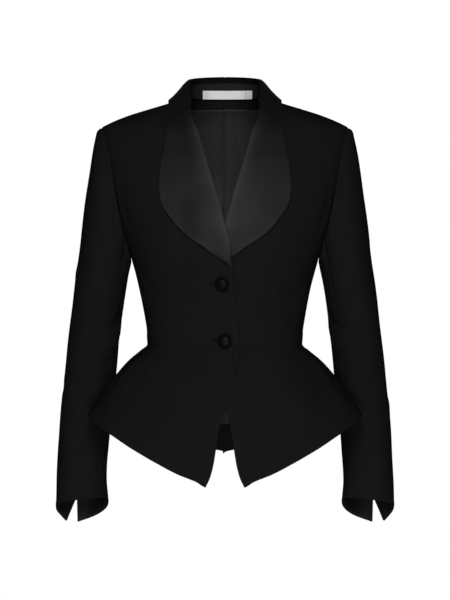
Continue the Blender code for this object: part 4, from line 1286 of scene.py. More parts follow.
@dataclass(frozen=True)
class ShawlCollar:
    """The satin collar and lapels: one wall that rolls over the neck and the front edges.

    Each cross-section runs from the roll line to the outer edge. Its points stand off the line between
    them by the heights of the profile, and the inner face stays close to the cloth under it.
    """

    lapel_tip: float = -0.2650
    top_row: float = -0.0176
    lapel_rows: int = 120
    neck_rows: int = 66
    section_points: tuple[tuple[float, float, int], ...] = ((0, 3, 24), (3, 7.4, 24), (7.4, 8, 11))
    full_width: float = 0.020
    blend_rows: int = 14
    stand_off: float = 0.0036
    belly: float = 0.0009
    wave: float = 0.00028
    flat_heights: Pair = (0.0020, 0.0006)
    cut: Cut = (0.115, 0.440, 0.0270)
    lapel_edge: ClassVar[Table] = Table(("height", "from_centre"), (
        (-0.0030, 0.0893), (-0.0112, 0.0901), (-0.0384, 0.0926), (-0.0736, 0.0976), (-0.1104, 0.1034),
        (-0.1360, 0.1046), (-0.1632, 0.1008), (-0.1864, 0.0869), (-0.2144, 0.0608), (-0.2328, 0.0330),
        (-0.2660, -0.0110),
    ))
    neck: ClassVar[Table] = Table(
        ("along", "roll_x", "roll_y", "roll_z", "edge_x", "edge_y", "edge_z"), (
        (1.0, 0.0560, -0.0260, 0.0070, 0.0893, -0.0180, -0.0030),
        (2.0, 0.0560, -0.0020, 0.0250, 0.0892, 0.0040, -0.0010),
        (3.0, 0.0555, 0.0220, 0.0335, 0.0880, 0.0300, -0.0015),
        (4.0, 0.0450, 0.0490, 0.0368, 0.0740, 0.0640, -0.0085),
        (5.0, 0.0240, 0.0650, 0.0388, 0.0400, 0.0790, -0.0110),
        (6.0, 0.0002, 0.0690, 0.0396, 0.0002, 0.0830, -0.0115),
    ))
    profile: ClassVar[Table] = Table(("step", "share", "away", "height", "inner_away", "inner_height"), (
        (0.0, 0.00, 0.0000, -0.0008, 0.0014, -0.0008),
        (1.0, 0.00, 0.0002, 0.0012, 0.0016, 0.0002),
        (2.0, 0.00, 0.0016, 0.0026, 0.0024, 0.0010),
        (3.0, 0.10, 0.0020, 0.0036, 0.0020, 0.0020),
        (4.0, 0.25, 0.0015, 0.0037, 0.0015, 0.0020),
        (5.0, 0.45, 0.0010, 0.0032, 0.0010, 0.0015),
        (6.0, 0.70, 0.0000, 0.0031, 0.0000, 0.0016),
        (7.0, 0.88, 0.0000, 0.0030, 0.0000, 0.0015),
        (8.0, 1.00, 0.0000, 0.0027, 0.0000, 0.0014),
    ))

    def base(self, share: Grid) -> tuple[Grid, Grid, Grid, Grid]:
        """The surface between the roll line and the outer edge.

        Args:
            share: how far across from the roll line to the edge each column is.

        Returns:
            The points, the normals, and the lapel rows' distances from the centre line and heights.
        """
        front = self.lapel_tip + (self.top_row - self.lapel_tip) * np.linspace(0, 1, self.lapel_rows) ** 1.2
        roll = Panels.front_edge.read("from_centre", front)
        edge = self.lapel_edge.read("from_centre", front)
        x = roll[:, None] + (edge - roll)[:, None] * share
        height = np.broadcast_to(front[:, None], x.shape)
        around = FORM.around_at(x, height)
        surface = FORM.point(around, height)
        along = np.linspace(0, 6, self.neck_rows + 1)[1:]
        rows = Table(self.neck.columns, ((0.0, *surface[-1, 0], *surface[-1, -1]),) + self.neck.rows)
        roll_line, edge_line = (np.stack([rows.read(name, along) for name in names], -1)
                                for names in (rows.columns[1:4], rows.columns[4:7]))
        neck = roll_line[:, None] + (edge_line - roll_line)[:, None] * share[None, :, None]
        up = unit(np.cross(edge_line - roll_line, np.gradient(roll_line + edge_line, axis=0)))
        up = up * np.where(up[:, 2:3] < 0, -1.0, 1.0)
        normal = np.concatenate([FORM.normal(around, height), np.broadcast_to(up[:, None], neck.shape)])
        low, high = self.lapel_rows - self.blend_rows, self.lapel_rows + self.blend_rows
        weight = ease(np.linspace(0, 1, high - low + 1))[:, None, None]
        normal[low:high + 1] = unit(normal[low] * (1 - weight) + normal[high] * weight)
        return np.concatenate([surface, neck]), normal, x, height

    def build(self, side: Side) -> None:
        """Build one half of the collar, whose satin has a little fullness over the roll.

        Args:
            side: which side it is for.
        """
        spots = stretches(*self.section_points)
        column = {name: self.profile.read(name, spots) for name in self.profile.columns[1:]}
        base, normal, x, height = self.base(column["share"])
        width = np.linalg.norm(base[:, -1] - base[:, 0], axis=-1)[:, None]
        across = ((base[:, -1] - base[:, 0]) / width)[:, None]
        full = np.minimum(width / self.full_width, 1)
        lift = np.zeros(base.shape[:2])
        lift[:len(x)] = Panels().lift(x, height, side)
        down = np.linspace(0, 1, len(base))[:, None]
        share = column["share"]
        lift += self.stand_off * share ** 3 * ease((0.52 - down) / 0.20) * ease(down / 0.03)
        belly = self.belly * np.sin(math.pi * share) ** 2
        belly = belly * ease((down - 0.06) / 0.2) * ease((0.62 - down) / 0.2)
        wave = self.wave * np.sin(17.0 * down + 5.0 * share + side.value) * np.sin(math.pi * share)
        grids = []
        for face, flat, extra in zip(("", "inner_"), self.flat_heights, (belly + wave, 0.0)):
            level = column[face + "height"] * full + flat * (1 - full) + extra
            grid = base + across * (column[face + "away"] * full)[..., None]
            grid = grid + normal * (level + lift)[..., None]
            grid[-1, :, 0] = 0.00004
            grids.append(grid)
        # Painted highlight along the roll line: this share, given as the cloth's shade, brings the satin's
        # colour towards its rolled tone.
        run = ease((down - 0.04) / 0.12) * ease((0.66 - down) / 0.10)
        rolled = np.exp(-np.maximum(spread_along(grids[0], 1) - 0.004, 0) / 0.0065) * run
        Cloth(f"shawl_collar_{side.label}", grids[0], normal, SATIN, (PLAIN, FOLD, PLAIN, SEAM), self.cut,
              side, back=grids[1], seam_dip=0.0006, fold_rise=0.0002, shade=rolled, kind="satin").build()


@dataclass(frozen=True)
class NeckInside:
    """What shows inside the neck: the facing, the collar stand, and the bare label with its size tab."""

    stand_start: float = 0.95
    label_start: float = 2.6
    lean: float = 0.985
    forward: float = 0.004
    below_roll: float = 0.0024
    least: float = 0.0090
    gap: float = 0.0004
    wall: float = 0.0014
    crease_share: float = 0.25
    label_span: Pair = (-0.0352, 0.0325)
    tab_span: Pair = (0.0331, 0.0430)
    label_heights: Pair = (0.0035, 0.0172)
    stitch_length: float = 0.0021
    stitch_radius: float = 0.00028
    facing_rows: int = 14
    facing_gap: float = 0.0024
    crease: float = 0.0010
    rolled: float = 0.0022
    pucker: float = 0.0002
    facing_cut: Cut = (0.180, 0.020, 0.0029)
    stand_cut: Cut = (0.250, 0.034, 0.0055)
    label_cut: Cut = (0.0700, 0.0140, 0.00097)
    tab_cut: Cut = (0.0115, 0.0150, 0.00017)

    def stand(self, rows: int, start: float, columns: int) -> tuple[Grid, Grid, Grid]:
        """The stand's surface right round the neck, from under the roll line to the neck seam.

        Args:
            rows: points down it.
            start: where it starts beside the neck, as the collar's table counts.
            columns: points along half of it.

        Returns:
            The points, their outward normals and each row's share of the way down.
        """
        share = np.linspace(0, 1, rows)
        along = np.linspace(start, 6, columns)
        roll = np.stack([ShawlCollar.neck.read(name, along) for name in ("roll_x", "roll_y", "roll_z")], -1)
        rise = np.clip((6 - along) / 4, 0, 1) ** 2
        low_z = Panels.neck_back + (Panels.neck_side - Panels.neck_back) * rise + 0.0006
        low = np.stack([roll[:, 0] * self.lean, roll[:, 1] - self.forward,
                        np.minimum(low_z, roll[:, 2] - self.least)], -1)
        top = roll + unit(low - roll) * self.below_roll
        half = top[:, None] + (low - top)[:, None] * share[None, :, None]
        ring = np.concatenate([Side.RIGHT.place(half[:-1]), half[::-1]])
        ring[columns - 1, :, 0] = 0.0
        normal = grid_normals(ring)
        middle = rows // 2
        if np.sum(normal[:, middle, :2] * (ring[:, middle, :2] - np.array([0.0, 0.02]))) < 0:
            normal = -normal
        return ring, normal, share

    def build(self) -> None:
        """Build the stand, the facing, the label and the tab."""
        ring, normal, share = self.stand(28, self.stand_start, 90)
        crease = self.crease * bell(share, self.crease_share, 0.045)
        rolled = self.rolled * bell(share, 0.0, 0.8 * self.crease_share) * ease(share / 0.10)
        pucker = self.pucker * np.sin(60.0 * ring[..., 0] + 4.0 * share) * np.sin(math.pi * share)
        face = ring - normal * (self.gap + self.wall - crease + pucker + rolled)[..., None]
        # Painted shadow of the collar's roll: above the crease the stand's colour is held at its darkest
        # tone.
        painted_roll_shadow = np.broadcast_to(-3.0 * ease((self.crease_share - share) / 0.08), face.shape[:2])
        Cloth("collar_stand", face, -normal, NECK_CREPE, (PLAIN, SEAM, PLAIN, PLAIN), self.stand_cut,
              thickness=0.0011, seam_dip=0.0004, shade=painted_roll_shadow).build()
        self.facing()
        self.strip("label", self.label_span, 70, self.label_cut)
        self.strip("size_tab", self.tab_span, 14, self.tab_cut)
        self.stitches()

    def facing(self) -> None:
        """Build the band of shell cloth between the lining and the collar stand."""
        around, height = Panels().back_grid()
        keep = int(np.argmax(gathered_ends(Panels.wide_columns) > Panels.neck_share)) + 1
        around, height = around[:, :keep], height[:, :keep]
        top = height[0] - 0.0004
        levels = top + (Panels.lining_top + 0.0001 - top) * np.linspace(0, 1, self.facing_rows)[:, None]
        angle = Panels().back_angles(around, height, levels)
        point, normal = FORM.point(angle, levels), FORM.normal(angle, levels)
        point, normal = (np.concatenate([Side.RIGHT.place(grid[:, :0:-1]), grid], 1)
                         for grid in (point - normal * self.facing_gap, normal))
        Cloth("back_neck_facing", point, -normal, FACING_CREPE, (PLAIN, PLAIN, SEAM, SEAM), self.facing_cut,
              thickness=0.0008, seam_dip=0.0004).build()

    def on_stand(self, x: Grid, height: Grid, away: float) -> tuple[Grid, Grid]:
        """Points on the stand's inner face.

        Args:
            x: their distances from the centre line, one a column.
            height: their heights, one a row.
            away: how far they stand off the face, inwards.

        Returns:
            The points, a column for each x, and the normals towards the neck.
        """
        ring, normal, _ = self.stand(17, self.label_start, 60)
        face = ring - normal * (self.wall + 2 * self.gap + away)
        values = np.concatenate([face, normal], -1)
        rows = np.array([[np.interp(x, face[:, j, 0], values[:, j, k]) for k in range(6)]
                         for j in reversed(range(face.shape[1]))])
        made = np.array([[np.interp(height, rows[:, 2, i], rows[:, k, i]) for k in range(6)]
                         for i in range(len(x))]).transpose(0, 2, 1)
        made[..., 0] = x[:, None]
        made[..., 2] = height
        return made[..., :3], -unit(made[..., 3:])

    def strip(self, node: str, span: Pair, columns: int, cut: Cut) -> None:
        """Build a strip of tape on the stand, with thicker woven edges and a slight puff between its ends.

        Args:
            node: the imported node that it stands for.
            span: where it starts and ends, from the centre line.
            columns: how many points it has along.
            cut: its flat width, length and area.
        """
        along = np.linspace(0, 1, columns)
        share = np.linspace(0, 1, 18)
        height = np.linspace(self.label_heights[1], self.label_heights[0], 18)
        point, towards = self.on_stand(span[0] + (span[1] - span[0]) * along, height, 0.0007)
        woven = 0.00012 * (bell(share, 0.0, 0.06) + bell(1 - share, 0.0, 0.06))
        puff = 0.0003 * np.sin(math.pi * along[:, None]) * np.sin(math.pi * share)
        Cloth(node, point + towards * (woven + puff)[..., None], towards, TAPE, (PLAIN,) * 4, cut,
              thickness=0.0006, kind="tape").build()

    def stitches(self) -> None:
        """Build the stitches that hold the label's two ends, each a long bead of thread."""
        turn = np.linspace(0, 2 * math.pi, 8, endpoint=False)
        rise = np.linspace(0.06, 0.94, 7) * math.pi
        height = np.linspace(self.label_heights[0] + 0.0016, self.label_heights[1] - 0.0016, 5)
        x = np.array([self.label_span[0] + 0.0011, self.label_span[1] - 0.0011])
        point, towards = self.on_stand(x, height, 0.0009)
        centre = point.reshape(-1, 1, 1, 3)
        out = towards.reshape(-1, 1, 1, 3)
        along = np.array([0.0, 0.0, 1.0]) - out * out[..., 2:]
        wide = np.cross(out, along)
        radius = self.stitch_radius * np.sin(rise)[None, :, None, None]
        bead = centre + along * (0.5 * self.stitch_length * np.cos(rise))[None, :, None, None]
        bead = bead + radius * (wide * np.cos(turn)[:, None] + out * np.sin(turn)[:, None])
        tube("label_stitches", bead, TAPE, self.label_heights[0])


def tube(name: str, rings: Grid, finish: Finish, start: float, closed: bool = False) -> bpy.types.Object:
    """Make one object of several tubes, each given as rings of points.

    Args:
        name: the object's name.
        rings: points by tube, ring and turn.
        finish: what the tubes are made of.
        start: where the thread's own pattern starts.
        closed: whether each tube's last ring joins its first.

    Returns:
        The object. Open tubes are closed by a point at each end.
    """
    tubes, count, sides = rings.shape[:3]
    points = rings.reshape(-1, 3)
    index = np.arange(len(points)).reshape(tubes, count, sides)
    low, high = (index, np.roll(index, -1, 1)) if closed else (index[:, :-1], index[:, 1:])
    faces = [np.stack([low, np.roll(low, -1, 2), np.roll(high, -1, 2), high], -1).reshape(-1, 4)]
    u, v = np.meshgrid(np.arange(count) * 0.0004 + start, np.arange(sides) * 0.0003, indexing="ij")
    flat = np.tile(np.stack([u, v], -1).reshape(-1, 2), (tubes, 1))
    if not closed:
        caps = np.concatenate([rings[:, 0].mean(1), rings[:, -1].mean(1)])
        cap = len(points) + np.arange(tubes)
        first, last = index[:, 0], index[:, -1]
        for one, other, tip in ((np.roll(first, -1, 1), first, cap),
                                (last, np.roll(last, -1, 1), cap + tubes)):
            faces.append(np.stack([one, other, np.broadcast_to(tip[:, None], one.shape)], -1).reshape(-1, 3))
        points = np.concatenate([points, caps])
        flat = np.concatenate([flat, np.zeros((2 * tubes, 2))])
    return build_object(name, points, faces, flat, np.zeros(len(points)), finish)


@dataclass(frozen=True)
class Sleeves:
    """The two-piece sleeves with a slit at the back of each cuff, and the lining that shows in the cuffs.

    The cap's reach is how far below the armhole the sleeve takes up its own section: at the least, and
    what is added beside and under the arm.
    """

    slit_start: float = 0.925
    front_seam: float = 130.0
    slit: float = -77.6
    slit_open: float = 25.0
    under_open: float = 3.0
    slit_point: float = -0.6745
    turn_end: float = 0.30
    lining_back: float = 0.08
    cap_rise: float = 0.0011
    cap_reach: Place = (0.006, 0.030, 0.012)
    crowding: float = 0.6
    ripple: float = 0.0003
    ruck: float = 0.0004
    lining_gap: float = 0.0029
    cap_share: float = 0.05
    cap_rows: int = 14
    arm_rows: int = 150
    slit_rows: int = 20
    lining_rows: int = 23
    metres_per_degree: float = 0.00078
    upper_cut: Cut = (0.205, 0.645, 0.0942)
    under_cut: Cut = (0.130, 0.560, 0.0515)
    lining_cut: Cut = (0.225, 0.105, 0.0110)
    sections: ClassVar[Table] = Table(("height", "outer", "inner", "middle_depth", "half_depth"), (
        (-0.0400, 0.2030, 0.1150, 0.000, 0.051),
        (-0.0496, 0.2062, 0.1180, 0.000, 0.053),
        (-0.0624, 0.2081, 0.1200, 0.000, 0.054),
        (-0.0784, 0.2111, 0.1220, 0.000, 0.055),
        (-0.1104, 0.2164, 0.1260, 0.001, 0.057),
        (-0.1584, 0.2234, 0.1320, 0.002, 0.058),
        (-0.2100, 0.2300, 0.1400, 0.005, 0.058),
        (-0.2560, 0.2355, 0.1490, 0.010, 0.057),
        (-0.2864, 0.2397, 0.1555, 0.016, 0.056),
        (-0.3500, 0.2477, 0.1655, 0.034, 0.052),
        (-0.4144, 0.2552, 0.1724, 0.055, 0.047),
        (-0.4784, 0.2622, 0.1790, 0.076, 0.043),
        (-0.5424, 0.2677, 0.1860, 0.086, 0.041),
        (-0.6064, 0.2707, 0.1898, 0.090, 0.040),
        (-0.6400, 0.2718, 0.1876, 0.090, 0.040),
        (-0.6800, 0.2735, 0.1870, 0.090, 0.040),
    ))
    cuff: ClassVar[Table] = Table(("degrees", "height"), (
        (-52.0, -0.6735), (-35.0, -0.6640), (-15.0, -0.6560), (0.0, -0.6500), (25.0, -0.6450),
        (55.0, -0.6410), (90.0, -0.6380), (135.0, -0.6355), (160.0, -0.6360), (180.0, -0.6440),
        (210.0, -0.6550), (240.0, -0.6650), (280.0, -0.6755),
    ))
    folds: tuple[Fold, ...] = (
        Fold((112.0, -0.165), (132.0, -0.262), 0.0075, -0.0031),
        Fold((88.0, -0.150), (104.0, -0.245), 0.0090, 0.0021),
        Fold((60.0, -0.120), (84.0, -0.210), 0.0110, -0.0018),
        Fold((168.0, -0.330), (96.0, -0.366), 0.0085, -0.0028),
        Fold((176.0, -0.356), (100.0, -0.392), 0.0080, 0.0022),
        Fold((172.0, -0.384), (104.0, -0.424), 0.0085, -0.0025),
        Fold((165.0, -0.420), (90.0, -0.470), 0.0100, 0.0017),
        Fold((40.0, -0.300), (98.0, -0.345), 0.0110, -0.0015),
        Fold((20.0, -0.430), (82.0, -0.500), 0.0120, -0.0017),
        Fold((30.0, -0.520), (60.0, -0.600), 0.0120, 0.0013),
        Fold((215.0, -0.370), (262.0, -0.402), 0.0090, 0.0018),
        Fold((210.0, -0.400), (270.0, -0.432), 0.0090, -0.0020),
        Fold((-60.0, -0.180), (-30.0, -0.290), 0.0120, -0.0017),
        Fold((-52.0, -0.100), (-88.0, -0.200), 0.0100, -0.0021),
        Fold((120.0, -0.540), (60.0, -0.575), 0.0110, -0.0014),
    )
    left_only: tuple[Fold, ...] = (
        Fold((10.0, -0.230), (50.0, -0.262), 0.0120, -0.0011),
        Fold((-20.0, -0.480), (25.0, -0.520), 0.0110, 0.0013),
    )
    right_only: tuple[Fold, ...] = (
        Fold((0.0, -0.270), (45.0, -0.292), 0.0120, 0.0013),
        Fold((-10.0, -0.455), (35.0, -0.480), 0.0110, -0.0014),
    )

    def point(self, around: Grid, height: Grid) -> Grid:
        """The sleeve's own surface: an ellipse at each height, by the angle from its outer side.

        Args:
            around: angles from the sleeve's outer side.
            height: heights.

        Returns:
            The points.
        """
        outer, inner, middle, half = (self.sections.read(name, height) for name in self.sections.columns[1:])
        x = 0.5 * (outer + inner) + 0.5 * (outer - inner) * np.cos(around)
        return np.stack([x, middle - half * np.sin(around), np.broadcast_to(height, x.shape)], axis=-1)

    def columns(self, upper: bool, opened: Grid) -> tuple[Grid, Grid]:
        """Spread a piece's columns round the armhole's ring, and round the sleeve below it.

        Args:
            upper: whether it is the upper sleeve.
            opened: how far open the slit is, by row.

        Returns:
            The columns' degrees on the ring, and on the sleeve by row.
        """
        ring = ARMHOLE.degrees()
        seam = 2 * ARMHOLE.upper_steps + ARMHOLE.lower_steps // 2
        if upper:
            ring = ring[:seam + 1]
            first, last = self.slit + self.slit_open * opened, self.front_seam
        else:
            ring = ring[seam:]
            first, last = self.front_seam, 360 + self.slit - self.under_open * opened
        share = np.linspace(0, 1, len(ring))
        share = share - self.crowding * np.sin(2 * math.pi * share) / (2 * math.pi)
        return ring, first + (last - first) * share

    def grid(self, upper: bool) -> tuple[Grid, Grid, Grid, Grid]:
        """Work out one piece, from the armhole to the cuff.

        The ring of the armhole turns into the sleeve's own section by a weight that falls off with
        exp(-d / reach), d being the drop from the ring.

        Args:
            upper: whether it is the upper sleeve.

        Returns:
            Points, normals, degrees round the sleeve and heights.
        """
        rows = stretches((0, self.cap_share, self.cap_rows), (self.cap_share, self.slit_start, self.arm_rows),
                         (self.slit_start, 1, self.slit_rows))[:, None]
        opened = np.clip((rows - self.slit_start) / (1 - self.slit_start), 0, 1)
        ring_degrees, lower = self.columns(upper, opened)
        degrees = ring_degrees + (lower - ring_degrees) * ease(rows / self.turn_end)
        ring, body_normal, into = ARMHOLE.ring(np.radians(ring_degrees))
        closed = self.cuff.read("height", lower[0])
        at_slit = (np.abs(lower[0] - self.slit) < 0.01) | (np.abs(lower[0] - 360 - self.slit) < 0.01)
        closed = np.where(at_slit, self.slit_point, closed)
        low = closed + (self.cuff.read("height", lower[-1]) - closed) * opened
        height = ring[:, 2] + (low - ring[:, 2]) * rows
        turn = np.radians(ring_degrees)
        point = self.point(np.radians(degrees), height)
        least, beside, under = self.cap_reach
        reach = least + beside * np.sin(turn) ** 2 + under * (1 - np.cos(turn)) / 2
        weight = np.exp(-(ring[:, 2] - height) / reach)[..., None]
        point = point + weight * (ring + unit(body_normal - into) * 0.0002 - point[0])
        normal = grid_normals(point)
        middle = len(rows) // 2
        axis = self.point(np.array([0.0, math.pi]), height[middle, :2]).mean(axis=0)
        if np.sum(normal[middle, :, :2] * (point[middle, :, :2] - axis[:2])) < 0:
            normal = -normal
        crossing = np.minimum(np.sum(normal[0] * into, axis=-1, keepdims=True), 0)
        normal[0] = unit(normal[0] - crossing * into)
        return point, normal, degrees, height

    def creased(self, grid: tuple[Grid, Grid, Grid, Grid], side: Side) -> tuple[Grid, Grid]:
        """Move a piece's points by the sleeve's folds and by the fullness sewn in at the shoulder.

        Args:
            grid: the piece's points, normals, degrees and heights.
            side: which side it is for.

        Returns:
            The moved points and the normals.
        """
        point, normal, degrees, height = grid
        own = self.left_only if side is Side.LEFT else self.right_only
        move = sum(fold.move(degrees, height, self.metres_per_degree) for fold in self.folds + own)
        start = spread_along(point, 0)
        top = ease((np.cos(np.radians(degrees[0])) + 0.25) / 0.7)
        cap = self.cap_rise * bell(start, 0.007, 0.006) * top
        ripple = self.ripple * np.sin(np.radians(degrees) * 5 + 60.0 * height + side.value)
        return point + normal * ((move + ripple) * ease(start / 0.02) + cap)[..., None], normal

    def build(self, side: Side) -> None:
        """Build both sleeve pieces and the cuff lining of one side.

        Args:
            side: which side it is for.
        """
        upper, under = self.grid(True), self.grid(False)
        opened = 1 - self.slit_rows
        for one, other in ((upper[1][:, -1], under[1][:, 0]), (upper[1][:opened, 0], under[1][:opened, -1])):
            one[:] = other[:] = unit(one + other)
        shells = [self.creased(piece, side) for piece in (upper, under)]
        for (point, normal), name, cut, flaps in ((shells[0], "upper", self.upper_cut, ("inner", "outer")),
                                                  (shells[1], "under", self.under_cut, ())):
            Cloth(f"sleeve_{name}_{side.label}", point, normal, CREPE, (SEAM, SEAM, SEAM, FOLD), cut, side,
                  Panels.wall, flaps=flaps, flap_rows=opened).build()
        point, normal = (np.concatenate([shells[0][k], shells[1][k][:, 1:]], 1)[-self.lining_rows:]
                         for k in (0, 1))
        point[-1] += (point[-2] - point[-1]) * self.lining_back * 4
        ruck = self.ruck * np.sin(np.linspace(0, 40, point.shape[1])) * np.linspace(0, 1, len(point))[:, None]
        face = point - normal * (self.lining_gap + ruck)[..., None]
        # The cuff lining takes the darker lining satin, as painted shade.
        Cloth(f"cuff_lining_{side.label}", face, -normal, SHADED_CUFF_SATIN, (PLAIN, PLAIN, PLAIN, FOLD),
              self.lining_cut, side, 0.0005).build()


@dataclass(frozen=True)
class Fastening:
    """The two covered buttons, each through a worked buttonhole in the wearer's right front."""

    radius: float = 0.0114
    shank: Pair = (0.0032, 0.0030)
    layer_gap: float = 0.0006
    droop: Place = (-0.17, 0.0, -0.09)
    sides: int = 72
    outline_rows: int = 46
    gathers: int = 24
    gather_depth: float = 0.010
    gather_reach: float = 0.0014
    outline: tuple[Pair, ...] = (
        (0.30, 0.00), (0.86, 0.0), (0.96, 0.03), (1.00, 0.10), (0.985, 0.18), (0.93, 0.28), (0.82, 0.40),
        (0.68, 0.49), (0.50, 0.56), (0.25, 0.61), (0.02, 0.63))
    places: tuple[tuple[str, float, float], ...] = (("button_upper", -0.0043, -0.2917),
                                                    ("button_lower", 0.0000, -0.3840))
    hole_reach: float = 0.0085
    hole_lift: float = 0.0012
    hole_half: float = 0.0100
    hole_width: float = 0.0011
    hole_ends: Pair = (0.8, 0.45)
    hole_thread: float = 0.00052
    hole_bed: float = 0.00035
    hole_steps: int = 220
    thread_sides: int = 10
    thread_width: float = 1.3
    eye_growth: float = 0.8
    eye_place: Pair = (-0.86, 0.16)
    stitches: int = 52
    stitch_depth: float = 0.16

    def on_front(self, x: Grid, height: Grid) -> tuple[Grid, Grid]:
        """Points on the outer face of the right front, and its normals.

        Args:
            x: places across the jacket, to the wearer's left.
            height: heights.

        Returns:
            The points and the normals.
        """
        own = -x
        around = FORM.around_at(own, height)
        point, normal = FORM.point(around, height), FORM.normal(around, height)
        lift = Panels().lift(own, height, Side.RIGHT)
        return Side.RIGHT.place(point + normal * lift[..., None]), Side.RIGHT.place(normal)

    def build(self) -> None:
        """Build both buttons and both buttonholes."""
        for name, x, height in self.places:
            self.button(name, x, height)
            self.buttonhole(name.replace("button", "buttonhole"), x - self.hole_reach,
                            height + self.hole_lift)

    def button(self, name: str, x: float, height: float) -> None:
        """Build a button: its outline turned round its axis, gathered finely towards its back.

        Args:
            name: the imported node's name.
            x: its place across the jacket.
            height: its height.
        """
        start, out = (grid[0] for grid in self.on_front(np.array([x]), np.array([height])))
        start = start + out * self.layer_gap
        out = unit(out + np.array(self.droop))
        wide = unit(np.cross(out, np.array([0.0, 0.0, 1.0])))
        tall = np.cross(wide, out)
        steps = np.arange(len(self.outline), dtype=float)
        spots = np.linspace(0, len(steps) - 1, self.outline_rows)
        radius = curve(steps, [r for r, _ in self.outline], spots) * self.radius
        rise = curve(steps, [h for _, h in self.outline], spots) * self.radius + self.shank[1]
        radius = np.concatenate([[self.shank[0] * 0.5, self.shank[0], self.shank[0]], radius])
        rise = np.concatenate([[0.0, 0.0, self.shank[1]], rise])
        turn = np.linspace(0, 2 * math.pi, self.sides, endpoint=False)
        fullness = bell(rise, self.shank[1], self.gather_reach)[:, None]
        gather = 1 + self.gather_depth * np.sin(self.gathers * turn) * fullness
        ring = radius[:, None] * gather
        rings = start + out * rise[:, None, None]
        rings = rings + ring[..., None] * (wide * np.cos(turn)[:, None] + tall * np.sin(turn)[:, None])
        piece = tube(f"{name}_covered", rings[None], BUTTON_SATIN, 0.0)
        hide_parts(name)
        LOG.info("%s", name)

    def buttonhole(self, name: str, x: float, height: float) -> None:
        """Build a buttonhole: a cord of close stitches round a long slot with a round end.

        The path is a flattened loop, whose half height grows near its end as the eye of a keyhole does.

        Args:
            name: its name.
            x: the middle of its slot.
            height: its height.
        """
        turn = np.linspace(0, 2 * math.pi, self.hole_steps, endpoint=False)
        cosine, sine = np.cos(turn), np.sin(turn)
        eye = 1 + self.eye_growth * bell(cosine, *self.eye_place)
        path_x = x + self.hole_half * np.sign(cosine) * np.abs(cosine) ** self.hole_ends[0]
        path_z = height + self.hole_width * np.sign(sine) * np.abs(sine) ** self.hole_ends[1] * eye
        centre, out = self.on_front(path_x, path_z)
        along = unit(np.roll(centre, -1, 0) - np.roll(centre, 1, 0))
        wide = unit(np.cross(out, along))
        stitch = 1 + self.stitch_depth * np.sin(turn * self.stitches)
        thick = self.hole_thread * stitch[:, None, None]
        side = np.linspace(0, 2 * math.pi, self.thread_sides, endpoint=False)
        across = wide[:, None] * np.cos(side)[:, None] * self.thread_width
        upwards = out[:, None] * np.sin(side)[:, None]
        rings = (centre + out * self.hole_bed)[:, None] + thick * (across + upwards)
        tube(name, rings[None], THREAD, 0.0, closed=True)


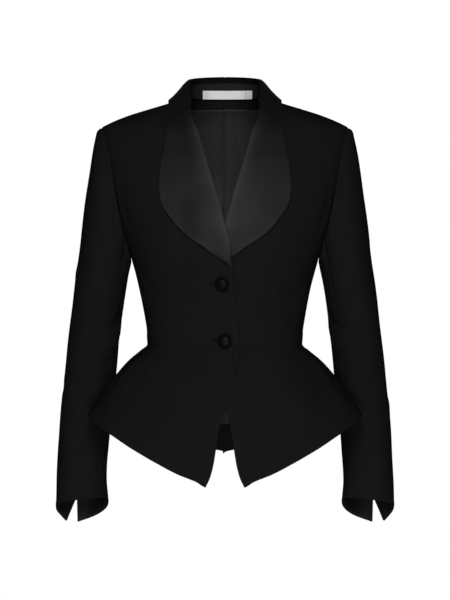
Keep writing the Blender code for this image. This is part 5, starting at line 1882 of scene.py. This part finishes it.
@dataclass(frozen=True)
class Studio:
    """A pale floor, soft light and the camera, straight on at the middle of the jacket's height."""

    camera_distance: float = 20.0
    camera_height: float = -0.3184
    frame_height: float = 0.96
    sensor: float = 24.0
    floor_height: float = -1.9
    floor_size: float = 5.0
    room: float = 0.05
    key_power: float = 170.0
    lights: tuple[tuple[str, Place, Pair, float], ...] = (
        ("key_light", (0.0, -6.0, 1.9), (1.6, 2.6), 1.10),
        ("low_light", (0.0, -5.0, -2.3), (1.6, 1.2), 0.42),
        ("left_light", (-4.2, -3.0, 0.2), (0.7, 2.2), 0.03),
        ("right_light", (4.2, -3.0, 0.2), (0.7, 2.2), 0.03),
        ("back_light", (0.0, 5.0, -1.1), (2.4, 1.2), 0.35),
    )

    def build(self) -> None:
        """Build the studio."""
        self.world()
        self.floor()
        for name, place, size, share in self.lights:
            self.light(name, place, size, share * self.key_power)
        camera = bpy.data.cameras.new("camera")
        camera.sensor_fit = "VERTICAL"
        camera.sensor_height = self.sensor
        camera.lens = self.camera_distance / self.frame_height * self.sensor
        camera.clip_end = 80.0
        holder = bpy.data.objects.new("camera", camera)
        holder.location = (0.0, -self.camera_distance, self.camera_height)
        holder.rotation_euler = (math.pi / 2, 0.0, 0.0)
        bpy.context.scene.collection.objects.link(holder)
        bpy.context.scene.camera = holder

    def world(self) -> None:
        """White to the camera, and a dimmer soft room for everything else."""
        scene = bpy.context.scene
        scene.view_settings.view_transform = "Standard"
        world = bpy.data.worlds.new("room")
        world.use_nodes = True
        tree = world.node_tree
        back = tree.nodes["Background"]
        back.inputs["Color"].default_value = (1.0, 1.0, 1.0, 1.0)
        seen = tree.nodes.new("ShaderNodeLightPath")
        strength = tree.nodes.new("ShaderNodeMapRange")
        strength.inputs["To Min"].default_value = self.room
        strength.inputs["To Max"].default_value = 1.0
        tree.links.new(seen.outputs["Is Camera Ray"], strength.inputs["Value"])
        tree.links.new(strength.outputs[0], back.inputs["Strength"])
        scene.world = world

    def floor(self) -> None:
        """A plain pale floor well below the jacket."""
        half = 0.5 * self.floor_size
        corners = [(x * half, y * half, self.floor_height) for x, y in ((-1, -1), (1, -1), (1, 1), (-1, 1))]
        mesh = bpy.data.meshes.new("floor")
        mesh.from_pydata(corners, [], [(0, 1, 2, 3)])
        shader = Shader("floor")
        shader.set(Base_Color=(0.86, 0.86, 0.85, 1.0), Roughness=0.9, Specular_IOR_Level=0.1)
        mesh.materials.append(shader.material)
        piece = bpy.data.objects.new("floor", mesh)
        bpy.context.scene.collection.objects.link(piece)

    def light(self, name: str, place: Place, size: Pair, power: float) -> None:
        """A soft rectangular light aimed at the middle of the jacket.

        Args:
            name: its name.
            place: where it stands.
            size: its width and height.
            power: its power in watts.
        """
        lamp = bpy.data.lights.new(name, "AREA")
        lamp.shape = "RECTANGLE"
        lamp.size, lamp.size_y = size
        lamp.energy = power
        holder = bpy.data.objects.new(name, lamp)
        holder.visible_camera = False
        away = np.array(place) - np.array([0.0, 0.0, self.camera_height])
        level = math.hypot(away[0], away[1])
        holder.location = place
        holder.rotation_euler = (math.atan2(level, away[2]), 0.0, math.atan2(away[1], away[0]) + math.pi / 2)
        bpy.context.scene.collection.objects.link(holder)


def main() -> None:
    """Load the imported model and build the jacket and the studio."""
    logging.basicConfig(level=logging.INFO, format="%(message)s")
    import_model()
    panels, collar, sleeves = Panels(), ShawlCollar(), Sleeves()
    for side in Side:
        panels.build(side)
        sleeves.build(side)
        collar.build(side)
    NeckInside().build()
    Fastening().build()
    Studio().build()


if __name__ == "__main__":
    main()
